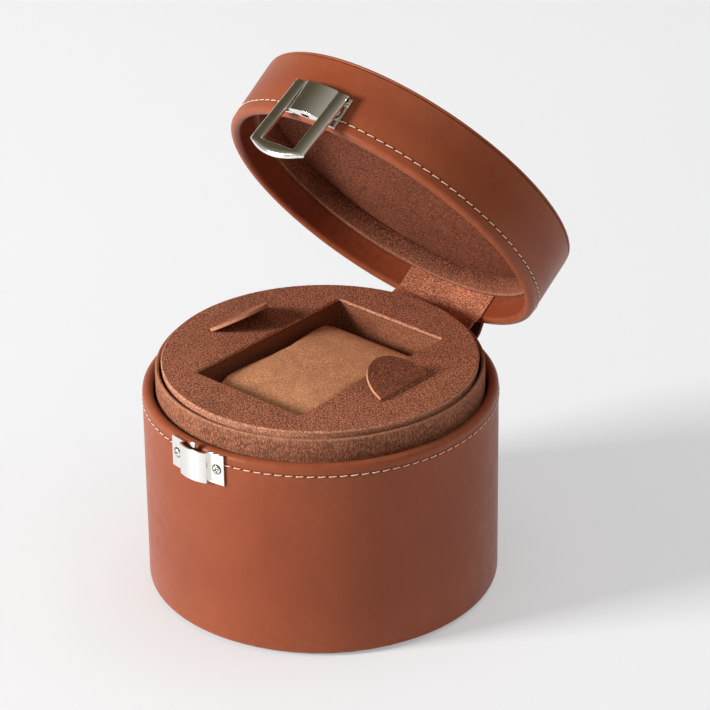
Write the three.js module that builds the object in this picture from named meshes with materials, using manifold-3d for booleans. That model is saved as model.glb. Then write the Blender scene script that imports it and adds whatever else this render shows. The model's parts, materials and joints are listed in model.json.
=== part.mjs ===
// Round leather watch winder box: a drum-shaped base with a spinning disc and watch pocket,
// a hinged lid, and a hasp catch at the front.
// Millimetres, +Z up. The origin is the bottom centre of the base; the catch faces -Y and the
// lid's hinge is at +Y. The lid is drawn standing open.

import * as THREE from 'three';
import { mergeVertices } from 'three/addons/utils/BufferGeometryUtils.js';
import Module from 'manifold-3d';

const wasm = await Module();
wasm.setup();

// ---------------------------------------------------------------- driving dimensions

const RADIUS = 70;                 // outside of the leather, base and lid
const BASE_HEIGHT = 84.6;          // seam between base and lid
const LID_HEIGHT = 29;
const LEATHER = 0.8;
const GAP = 0.3;                   // between pieces that touch
const FIT = 0.15;                  // between a covering and what it covers

const SHELL_OUTER = RADIUS - LEATHER - GAP;
const SHELL_INNER = 66.9;
const LIP_INNER = 65.9;            // inner face of the base's turned-in leather
const LIP_BOTTOM = 78;
const LID_LIP_INNER = 65.6;
const LID_LIP_DEPTH = 12;

const FELT = 1;
const BOARD = 4;
const BOARD_BOTTOM = FELT + GAP;
const BOARD_TOP = BOARD_BOTTOM + BOARD;
const FLOOR = BOARD_TOP + GAP;     // where things stand inside the base

const COLLAR_OUTER = 64.6;
const COLLAR_INNER = 62.9;
const COLLAR_TOP = 92.7;
const COLLAR_COVER_BOTTOM = 68;

const DISC_RADIUS = 62.3;
const DISC_TOP = 95;
const DISC_EDGE = 1.6;             // rounding of the disc's edge
const DISC_SKIRT = 89.2;
const POCKET_X = 54.5;
const POCKET_Y = 83.5;
const POCKET_FLOOR = 52;

const LEFT_FLAP_X = -46.4;
const RIGHT_FLAP_X = 43.3;
const FLAP_REACH = 16;
const FLAP_HALF = 13.5;
const FLAP_THICK = 1.3;
const LEFT_FLAP_REST = 31;         // degrees above the disc
const RIGHT_FLAP_REST = 24;

const HINGE_Y = 71.8;              // axis of the lid's hinge pin
const HINGE_Z = 77.6;
const LID_OPEN = 54.2;             // degrees from closed
const STRAP_ANGLE = 15.5;          // half the leather strap's width, degrees round the drum
const GUSSET_ANGLE = 19.5;         // half the suede gusset's width

const PLATE = 0.8;                 // sheet nickel of the catch
const PLATE_HALF = 13.4;
const CATCH_BOTTOM = 71.1;
const CATCH_TOP = 84;
const HASP_BOTTOM = 85.6;
const HASP_TOP = 98.8;
const HASP_PIVOT_OUT = 2.05;       // hasp pin, out from the leather
const HASP_PIVOT_Z = 97.2;
const HASP_REST = 6;               // degrees swung out from latched
const BAR_INNER = 71.9;
const BAR_OUTER = 73.5;
const BAR_HALF = 13.3;
const WINDOW_HALF = 8.1;
const WINDOW_BOTTOM = 70.8;
const SCREW_OUT = 10.3;            // from the middle of the plate

const MODULE_SIZE = 1;             // gear teeth
const GEAR_TEETH = 48;
const PINION_TEETH = 16;
const GEAR_CENTRES = MODULE_SIZE * (GEAR_TEETH + PINION_TEETH) / 2 + 0.15;
const GEAR_BOTTOM = 39;
const GEAR_TOP = 43;
const DECK_BOTTOM = 32;
const DECK_TOP = 35;

const CELL_RADIUS = 7.1;
const CELL_LENGTH = 49.5;
const CELL_Y = [24, 40];
const CELL_Z = 14.2;
const BAY = { x: 28.5, low: 16, high: 48 };   // opening in the base board for the cells

const ROUND = 56;                  // sides of the large rings
const SMALL = 24;                  // sides of the small round pieces

// ---------------------------------------------------------------- materials

const material = (color, roughness, metalness = 0) =>
  new THREE.MeshStandardMaterial({ color, roughness, metalness });

const cognacLeather = material('#a15f3d', 0.45);
const strapLeather = material('#8a4a30', 0.55);
const brownSuede = material('#8f5a41', 0.95);
const tanSuede = material('#b07a56', 0.95);
const board = material('#b49a78', 0.8);
const felt = material('#3a2a22', 0.95);
const foam = material('#cfc6b4', 0.95);
const nickel = material('#c9c6bf', 0.18, 1);
const steel = material('#9a9a98', 0.35, 1);
const brass = material('#b8923f', 0.35, 1);
const blackPlastic = material('#1f1f20', 0.5);
const whitePlastic = material('#dcdad2', 0.5);
const greenBoard = material('#1f5a36', 0.5);

// ---------------------------------------------------------------- solids

const radians = THREE.MathUtils.degToRad;

/** One closed body from a geometry: shared vertices merged, slivers dropped, faces out. */
function closed(geometry) {
  let flat = geometry.clone();
  flat.deleteAttribute('normal');
  flat.deleteAttribute('uv');
  flat = mergeVertices(flat, 1e-4);
  const index = Array.from(flat.index.array);
  const kept = [];
  for (let i = 0; i < index.length; i += 3) {
    const [a, b, c] = index.slice(i, i + 3);
    if (a !== b && b !== c && c !== a) kept.push(a, b, c);
  }
  flat.setIndex(kept);
  if (volume(flat) < 0) {
    for (let i = 0; i < kept.length; i += 3) {
      [kept[i + 1], kept[i + 2]] = [kept[i + 2], kept[i + 1]];
    }
    flat.setIndex(kept);
  }
  return flat;
}

function volume(geometry) {
  const p = geometry.attributes.position;
  const index = geometry.index.array;
  const [a, b, c] = [new THREE.Vector3(), new THREE.Vector3(), new THREE.Vector3()];
  let total = 0;
  for (let i = 0; i < index.length; i += 3) {
    a.fromBufferAttribute(p, index[i]);
    b.fromBufferAttribute(p, index[i + 1]);
    c.fromBufferAttribute(p, index[i + 2]);
    total += a.dot(b.cross(c)) / 6;
  }
  return total;
}

/** A geometry as a manifold, for joining and cutting. */
function solid(geometry) {
  const shape = closed(geometry);
  return new wasm.Manifold(new wasm.Mesh({
    numProp: 3,
    vertProperties: new Float32Array(shape.attributes.position.array),
    triVerts: new Uint32Array(shape.index.array),
  }));
}

function geometryOf(manifold) {
  const mesh = manifold.getMesh();
  const geometry = new THREE.BufferGeometry();
  geometry.setAttribute('position', new THREE.BufferAttribute(mesh.vertProperties, 3));
  geometry.setIndex(new THREE.BufferAttribute(mesh.triVerts, 1));
  return geometry;
}

/** The first geometry with others joined on and cut away. */
function carve(base, { add = [], cut = [] }) {
  let result = solid(base);
  for (const geometry of add) result = result.add(solid(geometry));
  for (const geometry of cut) result = result.subtract(solid(geometry));
  return geometryOf(result);
}

/** A closed outline of [radius, height] pairs turned about the Z axis. */
function turned(outline, sides = ROUND) {
  const points = outline.map(([r, z]) => new THREE.Vector2(r, z));
  points.push(points[0].clone());
  return new THREE.LatheGeometry(points, sides).rotateX(Math.PI / 2);
}

/** A ring, or a disc where inner is 0. */
function ring(inner, outer, low, high, sides = ROUND) {
  if (inner > 0) return turned([[inner, low], [outer, low], [outer, high], [inner, high]], sides);
  return new THREE.CylinderGeometry(outer, outer, high - low, sides)
    .rotateX(Math.PI / 2)
    .translate(0, 0, (low + high) / 2);
}

function box(x0, x1, y0, y1, z0, z1) {
  return new THREE.BoxGeometry(x1 - x0, y1 - y0, z1 - z0)
    .translate((x0 + x1) / 2, (y0 + y1) / 2, (z0 + z1) / 2);
}

/** A flat outline in plan raised from low to high. */
function raised(shape, low, high, curveSegments = 12) {
  const geometry = new THREE.ExtrudeGeometry(shape, {
    depth: high - low,
    bevelEnabled: false,
    curveSegments,
  });
  return geometry.translate(0, 0, low);
}

/** A round rod along X, Y or Z. */
function rod(axis, radius, from, to, at, sides = SMALL) {
  const geometry = new THREE.CylinderGeometry(radius, radius, to - from, sides);
  const middle = (from + to) / 2;
  if (axis === 'x') return geometry.rotateZ(Math.PI / 2).translate(middle, at[0], at[1]);
  if (axis === 'y') return geometry.translate(at[0], middle, at[1]);
  return geometry.rotateX(Math.PI / 2).translate(at[0], at[1], middle);
}

/** Points [x, y] on a circle about the Z axis, by angle from the +Y or -Y side. */
function arcPoints(radius, fromAngle, toAngle, steps, side = 1) {
  const points = [];
  for (let i = 0; i <= steps; i += 1) {
    const angle = radians(fromAngle + (toAngle - fromAngle) * i / steps);
    points.push([radius * Math.sin(angle), side * radius * Math.cos(angle)]);
  }
  return points;
}

const outline = (points) => new THREE.Shape(points.map(([x, y]) => new THREE.Vector2(x, y)));

/** A sheet bent round the drum, from -half to +half degrees about the +Y side. */
function bentSheet(inner, outer, half, low, high) {
  const steps = 10;
  const points = [
    ...arcPoints(outer, -half, half, steps),
    ...arcPoints(inner, half, -half, steps),
  ];
  return raised(outline(points), low, high);
}

/** Points of a quarter turn, for rounded edges in a [radius, height] outline. */
function rounded(centreR, centreZ, size, fromAngle, toAngle, steps = 4) {
  const points = [];
  for (let i = 0; i <= steps; i += 1) {
    const angle = radians(fromAngle + (toAngle - fromAngle) * i / steps);
    points.push([centreR + size * Math.cos(angle), centreZ + size * Math.sin(angle)]);
  }
  return points;
}

// ---------------------------------------------------------------- scene graph

const winderBox = new THREE.Group();
winderBox.name = 'watch_winder_box';

const lid = new THREE.Group();     // children are placed as if closed, from the hinge pin
lid.position.set(0, HINGE_Y, HINGE_Z);
lid.rotation.x = -radians(LID_OPEN);
winderBox.add(lid);

function piece(name, geometry, look, parent = winderBox) {
  const mesh = new THREE.Mesh(closed(geometry), look);
  mesh.name = name;
  if (parent === lid) mesh.geometry.translate(0, -HINGE_Y, -HINGE_Z);
  parent.add(mesh);
  return mesh;
}

// ---------------------------------------------------------------- front catch: shared shapes

/** Height of the drum's surface over the tangent plane at the front, at sideways distance x. */
const bulgeOut = (radius, x) => Math.sqrt(radius * radius - x * x) - RADIUS;

/** [x, out] to [x, y]: out is measured from the leather at the front. */
const front = ([x, out]) => [x, -(RADIUS + out)];

/** Plan of a bridge plate: two flanges on the drum and a raised, slightly domed middle. */
function bridgePlan(half, archHalf, wall, crest) {
  const surface = (radius, from, to, steps = 4) => {
    const points = [];
    for (let i = 0; i <= steps; i += 1) {
      const x = from + (to - from) * i / steps;
      points.push([x, bulgeOut(radius, x)]);
    }
    return points;
  };
  const dome = (halfWidth, edge, top, sign, steps = 6) => {
    const points = [];
    for (let i = 0; i <= steps; i += 1) {
      const t = -1 + 2 * i / steps;
      points.push([sign * t * halfWidth, top - (top - edge) * t * t]);
    }
    return points;
  };
  const under = RADIUS + 0.2;
  const over = under + PLATE;
  const inside = archHalf - PLATE;
  return [
    ...surface(over, -half, -archHalf),
    ...dome(archHalf, wall, crest, 1),
    ...surface(over, archHalf, half),
    ...surface(under, half, inside),
    ...dome(inside, wall - PLATE, crest - PLATE, -1),
    ...surface(under, -inside, -half),
  ];
}

const SCREW_ANGLE = THREE.MathUtils.radToDeg(Math.asin(SCREW_OUT / (RADIUS + 1)));

/** A radial rod or screw at the front, side -1 or +1 of the middle. */
function atScrew(geometry, side, z) {
  return geometry.rotateZ(radians(side * SCREW_ANGLE)).translate(0, 0, z);
}

const screwHole = (side, z) =>
  atScrew(rod('y', 1.1, -(RADIUS + 3), -(SHELL_INNER - 2), [0, 0], 10), side, z);

function screw(side, z) {
  const seat = RADIUS + 0.2 + PLATE + 0.12;
  const head = rod('y', 2, -(seat + 0.55), -seat, [0, 0], 20);
  const shank = rod('y', 0.9, -(seat + 0.2), -(SHELL_INNER + 0.6), [0, 0], 10);
  const slotA = box(-1.3, 1.3, -(seat + 1), -(seat + 0.25), -0.22, 0.22);
  const slotB = box(-0.22, 0.22, -(seat + 1), -(seat + 0.25), -1.3, 1.3);
  return atScrew(carve(head, { add: [shank], cut: [slotA, slotB] }), side, z);
}

const CATCH_MIDDLE = (CATCH_BOTTOM + CATCH_TOP) / 2;
const HASP_MIDDLE = (HASP_BOTTOM + HASP_TOP) / 2 - 0.6;
const bothSides = [-1, 1];

// ---------------------------------------------------------------- base

function feltPad() {
  return carve(ring(0, 67.4, 0, FELT), {
    cut: [
      box(-BAY.x - 1, BAY.x + 1, BAY.low - 1, BAY.high + 1, -1, FELT + 1),
      box(-7, 7, -26, -18, -1, FELT + 1),
    ],
  });
}

function baseBoard() {
  return carve(ring(0, SHELL_OUTER, BOARD_BOTTOM, BOARD_TOP), {
    cut: [
      box(-BAY.x, BAY.x, BAY.low, BAY.high, 0, BOARD_TOP + 1),
      box(-5.5, 5.5, -24, -20, 0, BOARD_TOP + 1),
    ],
  });
}

function baseShell() {
  return carve(ring(SHELL_INNER, SHELL_OUTER, FLOOR, BASE_HEIGHT - 1.5), {
    cut: bothSides.map((side) => screwHole(side, CATCH_MIDDLE)),
  });
}

/** Leather round the outside, rolled over the rim and turned in. */
function baseLeather() {
  const crest = BASE_HEIGHT - 0.1;
  const roll = (RADIUS - LIP_INNER) / 2;
  const skin = turned([
    [RADIUS, BOARD_BOTTOM],
    ...rounded(RADIUS - roll, crest - roll, roll, 0, 180, 5),
    [LIP_INNER, LIP_BOTTOM],
    [LIP_INNER + LEATHER - FIT, LIP_BOTTOM],
    [LIP_INNER + LEATHER - FIT, BASE_HEIGHT - 1.5 + FIT],
    [RADIUS - LEATHER, BASE_HEIGHT - 1.5 + FIT],
    [RADIUS - LEATHER, BOARD_BOTTOM],
  ]);
  return carve(skin, { cut: bothSides.map((side) => screwHole(side, CATCH_MIDDLE)) });
}

piece('felt_pad', feltPad(), felt);
piece('base_board', baseBoard(), board);
piece('base_shell', baseShell(), board);
piece('base_leather', baseLeather(), cognacLeather);

// inner tube: its suede-covered top stands above the rim and locates the lid
const TUBE_INNER = COLLAR_INNER + 0.45;
const TUBE_OUTER = COLLAR_OUTER - 0.45;
piece('inner_tube', ring(TUBE_INNER, TUBE_OUTER, FLOOR, COLLAR_TOP - 0.6), board);
piece('collar_suede', turned([
  [COLLAR_OUTER, COLLAR_COVER_BOTTOM],
  ...rounded(COLLAR_OUTER - 0.8, COLLAR_TOP - 0.8, 0.8, 0, 90, 2),
  ...rounded(COLLAR_INNER + 0.8, COLLAR_TOP - 0.8, 0.8, 90, 180, 2),
  [COLLAR_INNER, COLLAR_COVER_BOTTOM],
  [TUBE_INNER - FIT, COLLAR_COVER_BOTTOM],
  [TUBE_INNER - FIT, COLLAR_TOP - 0.6 + FIT],
  [TUBE_OUTER + FIT, COLLAR_TOP - 0.6 + FIT],
  [TUBE_OUTER + FIT, COLLAR_COVER_BOTTOM],
]), tanSuede);

// ---------------------------------------------------------------- drive and electrics

const deckPostAngles = [90, 210, 330];
const POST_CIRCLE = 56;
deckPostAngles.forEach((angle, i) => {
  const at = [POST_CIRCLE * Math.cos(radians(angle)), POST_CIRCLE * Math.sin(radians(angle))];
  piece(`deck_post_${i + 1}`, rod('z', 3.5, FLOOR, DECK_BOTTOM - GAP, at), blackPlastic);
});

const BEARING_OUTER = 6;
const SPINDLE = 3;
const MOTOR_RADIUS = 11.5;
piece('deck_plate', carve(ring(0, 61.5, DECK_BOTTOM, DECK_TOP, 48), {
  cut: [
    rod('z', BEARING_OUTER + GAP, DECK_BOTTOM - 1, DECK_TOP + 1, [0, 0]),
    rod('z', 4, DECK_BOTTOM - 1, DECK_TOP + 1, [0, -GEAR_CENTRES]),
  ],
}), blackPlastic);
piece('spindle_bearing', turned([
  [SPINDLE + 0.08, DECK_BOTTOM - 2],
  [BEARING_OUTER, DECK_BOTTOM - 2],
  [BEARING_OUTER, DECK_TOP + GAP],
  [BEARING_OUTER + 1.5, DECK_TOP + GAP],
  [BEARING_OUTER + 1.5, DECK_TOP + 1.8],
  [SPINDLE + 0.08, DECK_TOP + 1.8],
], 24), brass);
piece('motor', carve(rod('z', MOTOR_RADIUS, 13.5, DECK_BOTTOM - GAP, [0, -GEAR_CENTRES]), {
  add: [rod('z', 3.4, DECK_BOTTOM - 2, DECK_TOP + 1, [0, -GEAR_CENTRES])],
  cut: [rod('z', 1.3, 20, DECK_TOP + 2, [0, -GEAR_CENTRES])],
}), steel);

/** Outline of an involute spur gear, with the mesh's backlash taken off each flank. */
function gearShape(teeth) {
  const pitch = MODULE_SIZE * teeth / 2;
  const base = pitch * Math.cos(radians(20));
  const tip = pitch + 0.85 * MODULE_SIZE;
  const root = pitch - 1.15 * MODULE_SIZE;
  const involute = (r) => Math.tan(Math.acos(base / r)) - Math.acos(base / r);
  const halfTooth = Math.PI / (2 * teeth) - 0.09 / pitch + involute(pitch);
  const points = [];
  for (let tooth = 0; tooth < teeth; tooth += 1) {
    const middle = 2 * Math.PI * tooth / teeth;
    const flank = [root, (base + pitch) / 2, tip];
    const angles = flank.map((r) => halfTooth - (r > base ? involute(r) : 0));
    for (let i = 0; i < flank.length; i += 1) points.push([flank[i], middle - angles[i]]);
    for (let i = flank.length - 1; i >= 0; i -= 1) points.push([flank[i], middle + angles[i]]);
  }
  return outline(points.map(([r, a]) => [r * Math.cos(a), r * Math.sin(a)]));
}

// the pinion has a tooth gap facing the gear's tooth at -Y
const pinionTurn = Math.PI / 2 + Math.PI / PINION_TEETH;
piece('motor_pinion', carve(raised(gearShape(PINION_TEETH), GEAR_BOTTOM, GEAR_TOP)
  .rotateZ(pinionTurn)
  .translate(0, -GEAR_CENTRES, 0), {
  add: [rod('z', 1, 21, GEAR_BOTTOM + 1, [0, -GEAR_CENTRES], 20)],
}), whitePlastic);
piece('drive_gear', carve(raised(gearShape(GEAR_TEETH), GEAR_BOTTOM, GEAR_TOP), {
  add: [ring(0, 7, GEAR_BOTTOM - 1.5, GEAR_TOP, SMALL)],
  cut: [rod('z', SPINDLE + FIT, GEAR_BOTTOM - 3, GEAR_TOP + 1, [0, 0])],
}), whitePlastic);
piece('spindle', rod('z', SPINDLE, DECK_BOTTOM - 4, POCKET_FLOOR - 2.6, [0, 0], 32), steel);

piece('control_board', box(-24, 24, -52, -29, 8.2, 9.8), greenBoard);
piece('switch_body', carve(box(-8, 8, -26, -18, FLOOR, FLOOR + 5.5), {
  cut: [box(-5.2, 5.2, -23.8, -20.2, FLOOR - 1, FLOOR + 3)],
}), blackPlastic);
piece('switch_knob', box(-4.8, 0.2, -23.4, -20.6, 1.6, FLOOR + 2.6), whitePlastic);

piece('battery_box', carve(
  box(-31, 31, BAY.low - 2, BAY.high + 2, FLOOR, CELL_Z + CELL_RADIUS + 2),
  { cut: [box(-29, 29, BAY.low - 0.4, BAY.high + 0.4, FLOOR - 1, CELL_Z + CELL_RADIUS + 0.5)] },
), blackPlastic);
CELL_Y.forEach((y, i) => {
  const direction = i === 0 ? 1 : -1;
  const half = CELL_LENGTH / 2;
  const nub = direction > 0 ? [half - 0.5, half + 1] : [-half - 1, -half + 0.5];
  piece(`battery_${i + 1}`, carve(rod('x', CELL_RADIUS, -half, half, [y, CELL_Z]), {
    add: [rod('x', 2.7, nub[0], nub[1], [y, CELL_Z], 16)],
  }), steel);
});
const contactX = CELL_LENGTH / 2 + 1.6;
piece('contact_bridge',
  box(-contactX - 0.6, -contactX, CELL_Y[0] - 5, CELL_Y[1] + 5, CELL_Z - 5, CELL_Z + 5), steel);
piece('contact_positive',
  box(contactX, contactX + 0.6, CELL_Y[0] - 5, CELL_Y[0] + 5, CELL_Z - 5, CELL_Z + 5), steel);
piece('contact_negative',
  box(contactX, contactX + 0.6, CELL_Y[1] - 5, CELL_Y[1] + 5, CELL_Z - 5, CELL_Z + 5), steel);

const COVER_LOW = 0.9;
const COVER_SCREW = [0, (BAY.low + BAY.high) / 2];
piece('battery_cover', carve(
  box(-BAY.x + 0.4, BAY.x - 0.4, BAY.low + 0.4, BAY.high - 0.4, COVER_LOW, COVER_LOW + 2.2),
  {
    add: [rod('z', 3, COVER_LOW + 1, 5.4, COVER_SCREW, 16)],
    cut: [
      rod('z', 2.2, COVER_LOW - 1, COVER_LOW + 1.3, COVER_SCREW, 20),
      rod('z', 1.2, COVER_LOW - 1, 6, COVER_SCREW, 12),
    ],
  },
), blackPlastic);
piece('cover_screw', carve(rod('z', 1.9, COVER_LOW + 0.2, COVER_LOW + 1.1, COVER_SCREW, 20), {
  add: [rod('z', 1, COVER_LOW + 0.8, 6.2, COVER_SCREW, 12)],
}), steel);

// ---------------------------------------------------------------- spinning disc and pocket

const flapSlots = [LEFT_FLAP_X - 1.2, RIGHT_FLAP_X + 1.2].map(
  (x) => box(x - 0.7, x + 0.7, -FLAP_HALF, FLAP_HALF, DISC_SKIRT, DISC_TOP + 1),
);

const pocketHole = (spare, low) => box(
  -POCKET_X / 2 - spare,
  POCKET_X / 2 + spare,
  -POCKET_Y / 2 - spare,
  POCKET_Y / 2 + spare,
  low,
  DISC_TOP + 2,
);

const TRAY_TOP = 90.7;
const BOARD_SPARE = 0.65;
const TRAY_WALL = 1.5;
piece('rotor_tray', carve(ring(0, 61.1, TRAY_TOP - 2, TRAY_TOP), {
  add: [
    carve(pocketHole(BOARD_SPARE + TRAY_WALL, POCKET_FLOOR - 2.3), {
      cut: [box(-40, 40, -60, 60, TRAY_TOP - 1, DISC_TOP + 3)],
    }),
    rod('z', 8, 45, POCKET_FLOOR - 2, [0, 0]),
  ],
  cut: [
    pocketHole(BOARD_SPARE, POCKET_FLOOR - 0.5),
    rod('z', SPINDLE + FIT, 44, POCKET_FLOOR - 2.3, [0, 0]),
  ],
}), blackPlastic);
piece('pocket_lining', carve(carve(pocketHole(BOARD_SPARE - FIT, POCKET_FLOOR - 0.3), {
  cut: [box(-40, 40, -60, 60, TRAY_TOP, DISC_TOP + 3)],
}), { cut: [pocketHole(0, POCKET_FLOOR + 0.4)] }), brownSuede);
piece('disc_board', carve(ring(0, 61.1, TRAY_TOP + GAP, DISC_TOP - 1), {
  cut: [pocketHole(BOARD_SPARE + 0.1, TRAY_TOP), ...flapSlots],
}), board);

/** Suede drawn over the disc's top, down its rim and into the pocket's mouth. */
function discSuede() {
  const edge = DISC_RADIUS - DISC_EDGE;
  const blank = turned([
    [0, DISC_SKIRT],
    [DISC_RADIUS, DISC_SKIRT],
    ...rounded(edge, DISC_TOP - DISC_EDGE, DISC_EDGE, 0, 90, 3),
    [0, DISC_TOP],
  ]);
  const underside = ring(0, 61.1 + FIT, DISC_SKIRT - 1, DISC_TOP - 1 + FIT);
  const mouth = carve(pocketHole(BOARD_SPARE, TRAY_TOP + GAP), {
    cut: [box(-40, 40, -60, 60, DISC_TOP - 0.5, DISC_TOP + 3)],
  });
  return carve(blank, { cut: [carve(underside, { cut: [mouth] }), pocketHole(0, 80),
    box(-40, 40, -60, 60, DISC_SKIRT - 1, TRAY_TOP + GAP), ...flapSlots] });
}
piece('disc_suede', discSuede(), brownSuede);

/** A D-shaped suede tab, its straight edge on the hinge line, lying level. */
function flap() {
  const points = [[0, -FLAP_HALF]];
  const steps = 16;
  for (let i = 0; i <= steps; i += 1) {
    const angle = radians(-90 + 180 * i / steps);
    points.push([-0.7 - (FLAP_REACH - 0.7) * Math.cos(angle), FLAP_HALF * Math.sin(angle)]);
  }
  points.push([0, FLAP_HALF]);
  return raised(outline(points.reverse()), -FLAP_THICK / 2, FLAP_THICK / 2);
}

function hingedFlap(name, x, rest) {
  const hinge = new THREE.Group();
  hinge.position.set(x, 0, DISC_TOP + 0.1 + FLAP_THICK / 2);
  hinge.rotation.y = Math.sign(x) * radians(rest);
  winderBox.add(hinge);
  const shape = x > 0 ? flap() : flap().rotateZ(Math.PI);
  piece(name, shape, brownSuede, hinge);
}
hingedFlap('flap_left', LEFT_FLAP_X, LEFT_FLAP_REST);
hingedFlap('flap_right', RIGHT_FLAP_X, RIGHT_FLAP_REST);

/** The pillow that the watch is strapped round. */
function watchCushion() {
  const half = { x: 25.6, y: 40 };
  const corner = 9;
  const shape = new THREE.Shape();
  shape.moveTo(-half.y + corner, POCKET_FLOOR + 0.8);
  shape.lineTo(half.y - corner, POCKET_FLOOR + 0.8);
  shape.quadraticCurveTo(half.y, POCKET_FLOOR + 0.8, half.y, POCKET_FLOOR + corner);
  shape.lineTo(half.y, 79);
  shape.quadraticCurveTo(half.y, 89, half.y - 14, 91);
  shape.quadraticCurveTo(0, 92.5, -half.y + 14, 91);
  shape.quadraticCurveTo(-half.y, 89, -half.y, 79);
  shape.lineTo(-half.y, POCKET_FLOOR + corner);
  shape.quadraticCurveTo(-half.y, POCKET_FLOOR + 0.8, -half.y + corner, POCKET_FLOOR + 0.8);
  return new THREE.ExtrudeGeometry(shape, {
    depth: 2 * half.x,
    bevelEnabled: false,
    curveSegments: 6,
  }).translate(0, 0, -half.x).rotateY(Math.PI / 2).rotateX(Math.PI / 2);
}
piece('watch_cushion', watchCushion(), tanSuede);

// ---------------------------------------------------------------- lid

const LID_TOP = BASE_HEIGHT + LID_HEIGHT;
const LID_SHELL_BOTTOM = BASE_HEIGHT + 1.7;
const LID_SHELL_TOP = LID_TOP - 2.2;
const LID_CREST = BASE_HEIGHT + 0.2;
const RING_LOW = BASE_HEIGHT + LID_LIP_DEPTH + GAP;
const RING_HIGH = BASE_HEIGHT + 20;
const LID_SHELL_INNER = LID_LIP_INNER + LEATHER + FIT;

piece('lid_shell', carve(turned([
  [0, LID_SHELL_TOP],
  [0, LID_SHELL_TOP - 2.8],
  [LID_SHELL_INNER, LID_SHELL_TOP - 2.8],
  [LID_SHELL_INNER, LID_SHELL_BOTTOM],
  [SHELL_OUTER, LID_SHELL_BOTTOM],
  [SHELL_OUTER, LID_SHELL_TOP],
]), { cut: bothSides.map((side) => screwHole(side, HASP_MIDDLE)) }), board, lid);

/** Side leather, rolled over the rim and turned in as a smooth band. */
function lidLeather() {
  const roll = (RADIUS - LID_LIP_INNER) / 2;
  const skin = turned([
    [RADIUS, LID_SHELL_TOP],
    ...rounded(RADIUS - roll, LID_CREST + roll, roll, 0, -180, 5),
    [LID_LIP_INNER, BASE_HEIGHT + LID_LIP_DEPTH],
    [LID_LIP_INNER + LEATHER - FIT, BASE_HEIGHT + LID_LIP_DEPTH],
    [LID_LIP_INNER + LEATHER - FIT, LID_SHELL_BOTTOM - FIT],
    [RADIUS - LEATHER, LID_SHELL_BOTTOM - FIT],
    [RADIUS - LEATHER, LID_SHELL_TOP],
  ]);
  return carve(skin, { cut: bothSides.map((side) => screwHole(side, HASP_MIDDLE)) });
}
piece('lid_leather', lidLeather(), cognacLeather, lid);

piece('lid_top_leather', turned([
  [0, LID_SHELL_TOP + GAP],
  [RADIUS - 0.1, LID_SHELL_TOP + GAP],
  ...rounded(RADIUS - 1.3, LID_TOP - 1.2, 1.2, 0, 90, 2),
  [0, LID_TOP],
]), cognacLeather, lid);
piece('lid_suede_ring', turned([
  [LID_SHELL_INNER - GAP, RING_LOW],
  [64.3, RING_LOW],
  [63.5, RING_LOW + 0.8],
  [63.5, RING_HIGH],
  [LID_SHELL_INNER - GAP, RING_HIGH],
]), brownSuede, lid);
piece('lid_suede_panel',
  ring(0, LID_SHELL_INNER - GAP, RING_HIGH + GAP, RING_HIGH + 1.5), brownSuede, lid);
piece('lid_pad',
  ring(0, LID_SHELL_INNER - GAP, RING_HIGH + 1.8, LID_SHELL_TOP - 2.8 - GAP, 48), foam, lid);

// ---------------------------------------------------------------- hinge

const LEAF = { half: 10, inner: RADIUS + 0.3, outer: RADIUS + 1.1, end: 17 };
const BARREL = 1.55;
const PIN = 0.75;
const MIDDLE_KNUCKLE = 4;

/** A hinge leaf: reach is -1 for the base's, which hangs down, and +1 for the lid's. */
function hingeLeaf(reach, knuckles, notches) {
  const [low, high] = reach < 0
    ? [HINGE_Z - LEAF.end, HINGE_Z]
    : [HINGE_Z, HINGE_Z + LEAF.end];
  const barrel = ([from, to]) => rod('x', BARREL, from, to, [HINGE_Y, HINGE_Z], 20);
  return carve(box(-LEAF.half, LEAF.half, LEAF.inner, LEAF.outer, low, high), {
    add: knuckles.map(barrel),
    cut: [
      rod('x', PIN + 0.08, -LEAF.half - 1, LEAF.half + 1, [HINGE_Y, HINGE_Z], 20),
      ...notches.map(([from, to]) =>
        rod('x', BARREL + GAP, from, to, [HINGE_Y, HINGE_Z], 20)),
    ],
  });
}
const outerKnuckles = [[-LEAF.half, -MIDDLE_KNUCKLE], [MIDDLE_KNUCKLE, LEAF.half]];
const middleKnuckle = [[-MIDDLE_KNUCKLE + GAP, MIDDLE_KNUCKLE - GAP]];
piece('hinge_leaf_base',
  hingeLeaf(-1, outerKnuckles, [[-MIDDLE_KNUCKLE, MIDDLE_KNUCKLE]]), brass);
piece('hinge_leaf_lid', hingeLeaf(1, middleKnuckle, [
  [-LEAF.half - 1, -MIDDLE_KNUCKLE + GAP],
  [MIDDLE_KNUCKLE - GAP, LEAF.half + 1],
]), brass, lid);
piece('hinge_pin',
  rod('x', PIN, -LEAF.half - 0.4, LEAF.half + 0.4, [HINGE_Y, HINGE_Z], 20), steel);

const STRAP_INNER = 71.95;
const STRAP_OUTER = 73.1;
piece('hinge_strap_base',
  bentSheet(STRAP_INNER, STRAP_OUTER, STRAP_ANGLE, 56, HINGE_Z - 2.2), strapLeather);
piece('hinge_strap_lid',
  bentSheet(STRAP_INNER, STRAP_OUTER, STRAP_ANGLE, HINGE_Z + 2.2, 99), strapLeather, lid);
piece('hinge_gusset_base',
  bentSheet(64.9, 65.5, GUSSET_ANGLE, LIP_BOTTOM, BASE_HEIGHT - 0.6), brownSuede);
piece('hinge_gusset_lid',
  bentSheet(64.85, 65.4, GUSSET_ANGLE, BASE_HEIGHT + 1, RING_LOW - GAP), brownSuede, lid);

// ---------------------------------------------------------------- front catch

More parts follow.
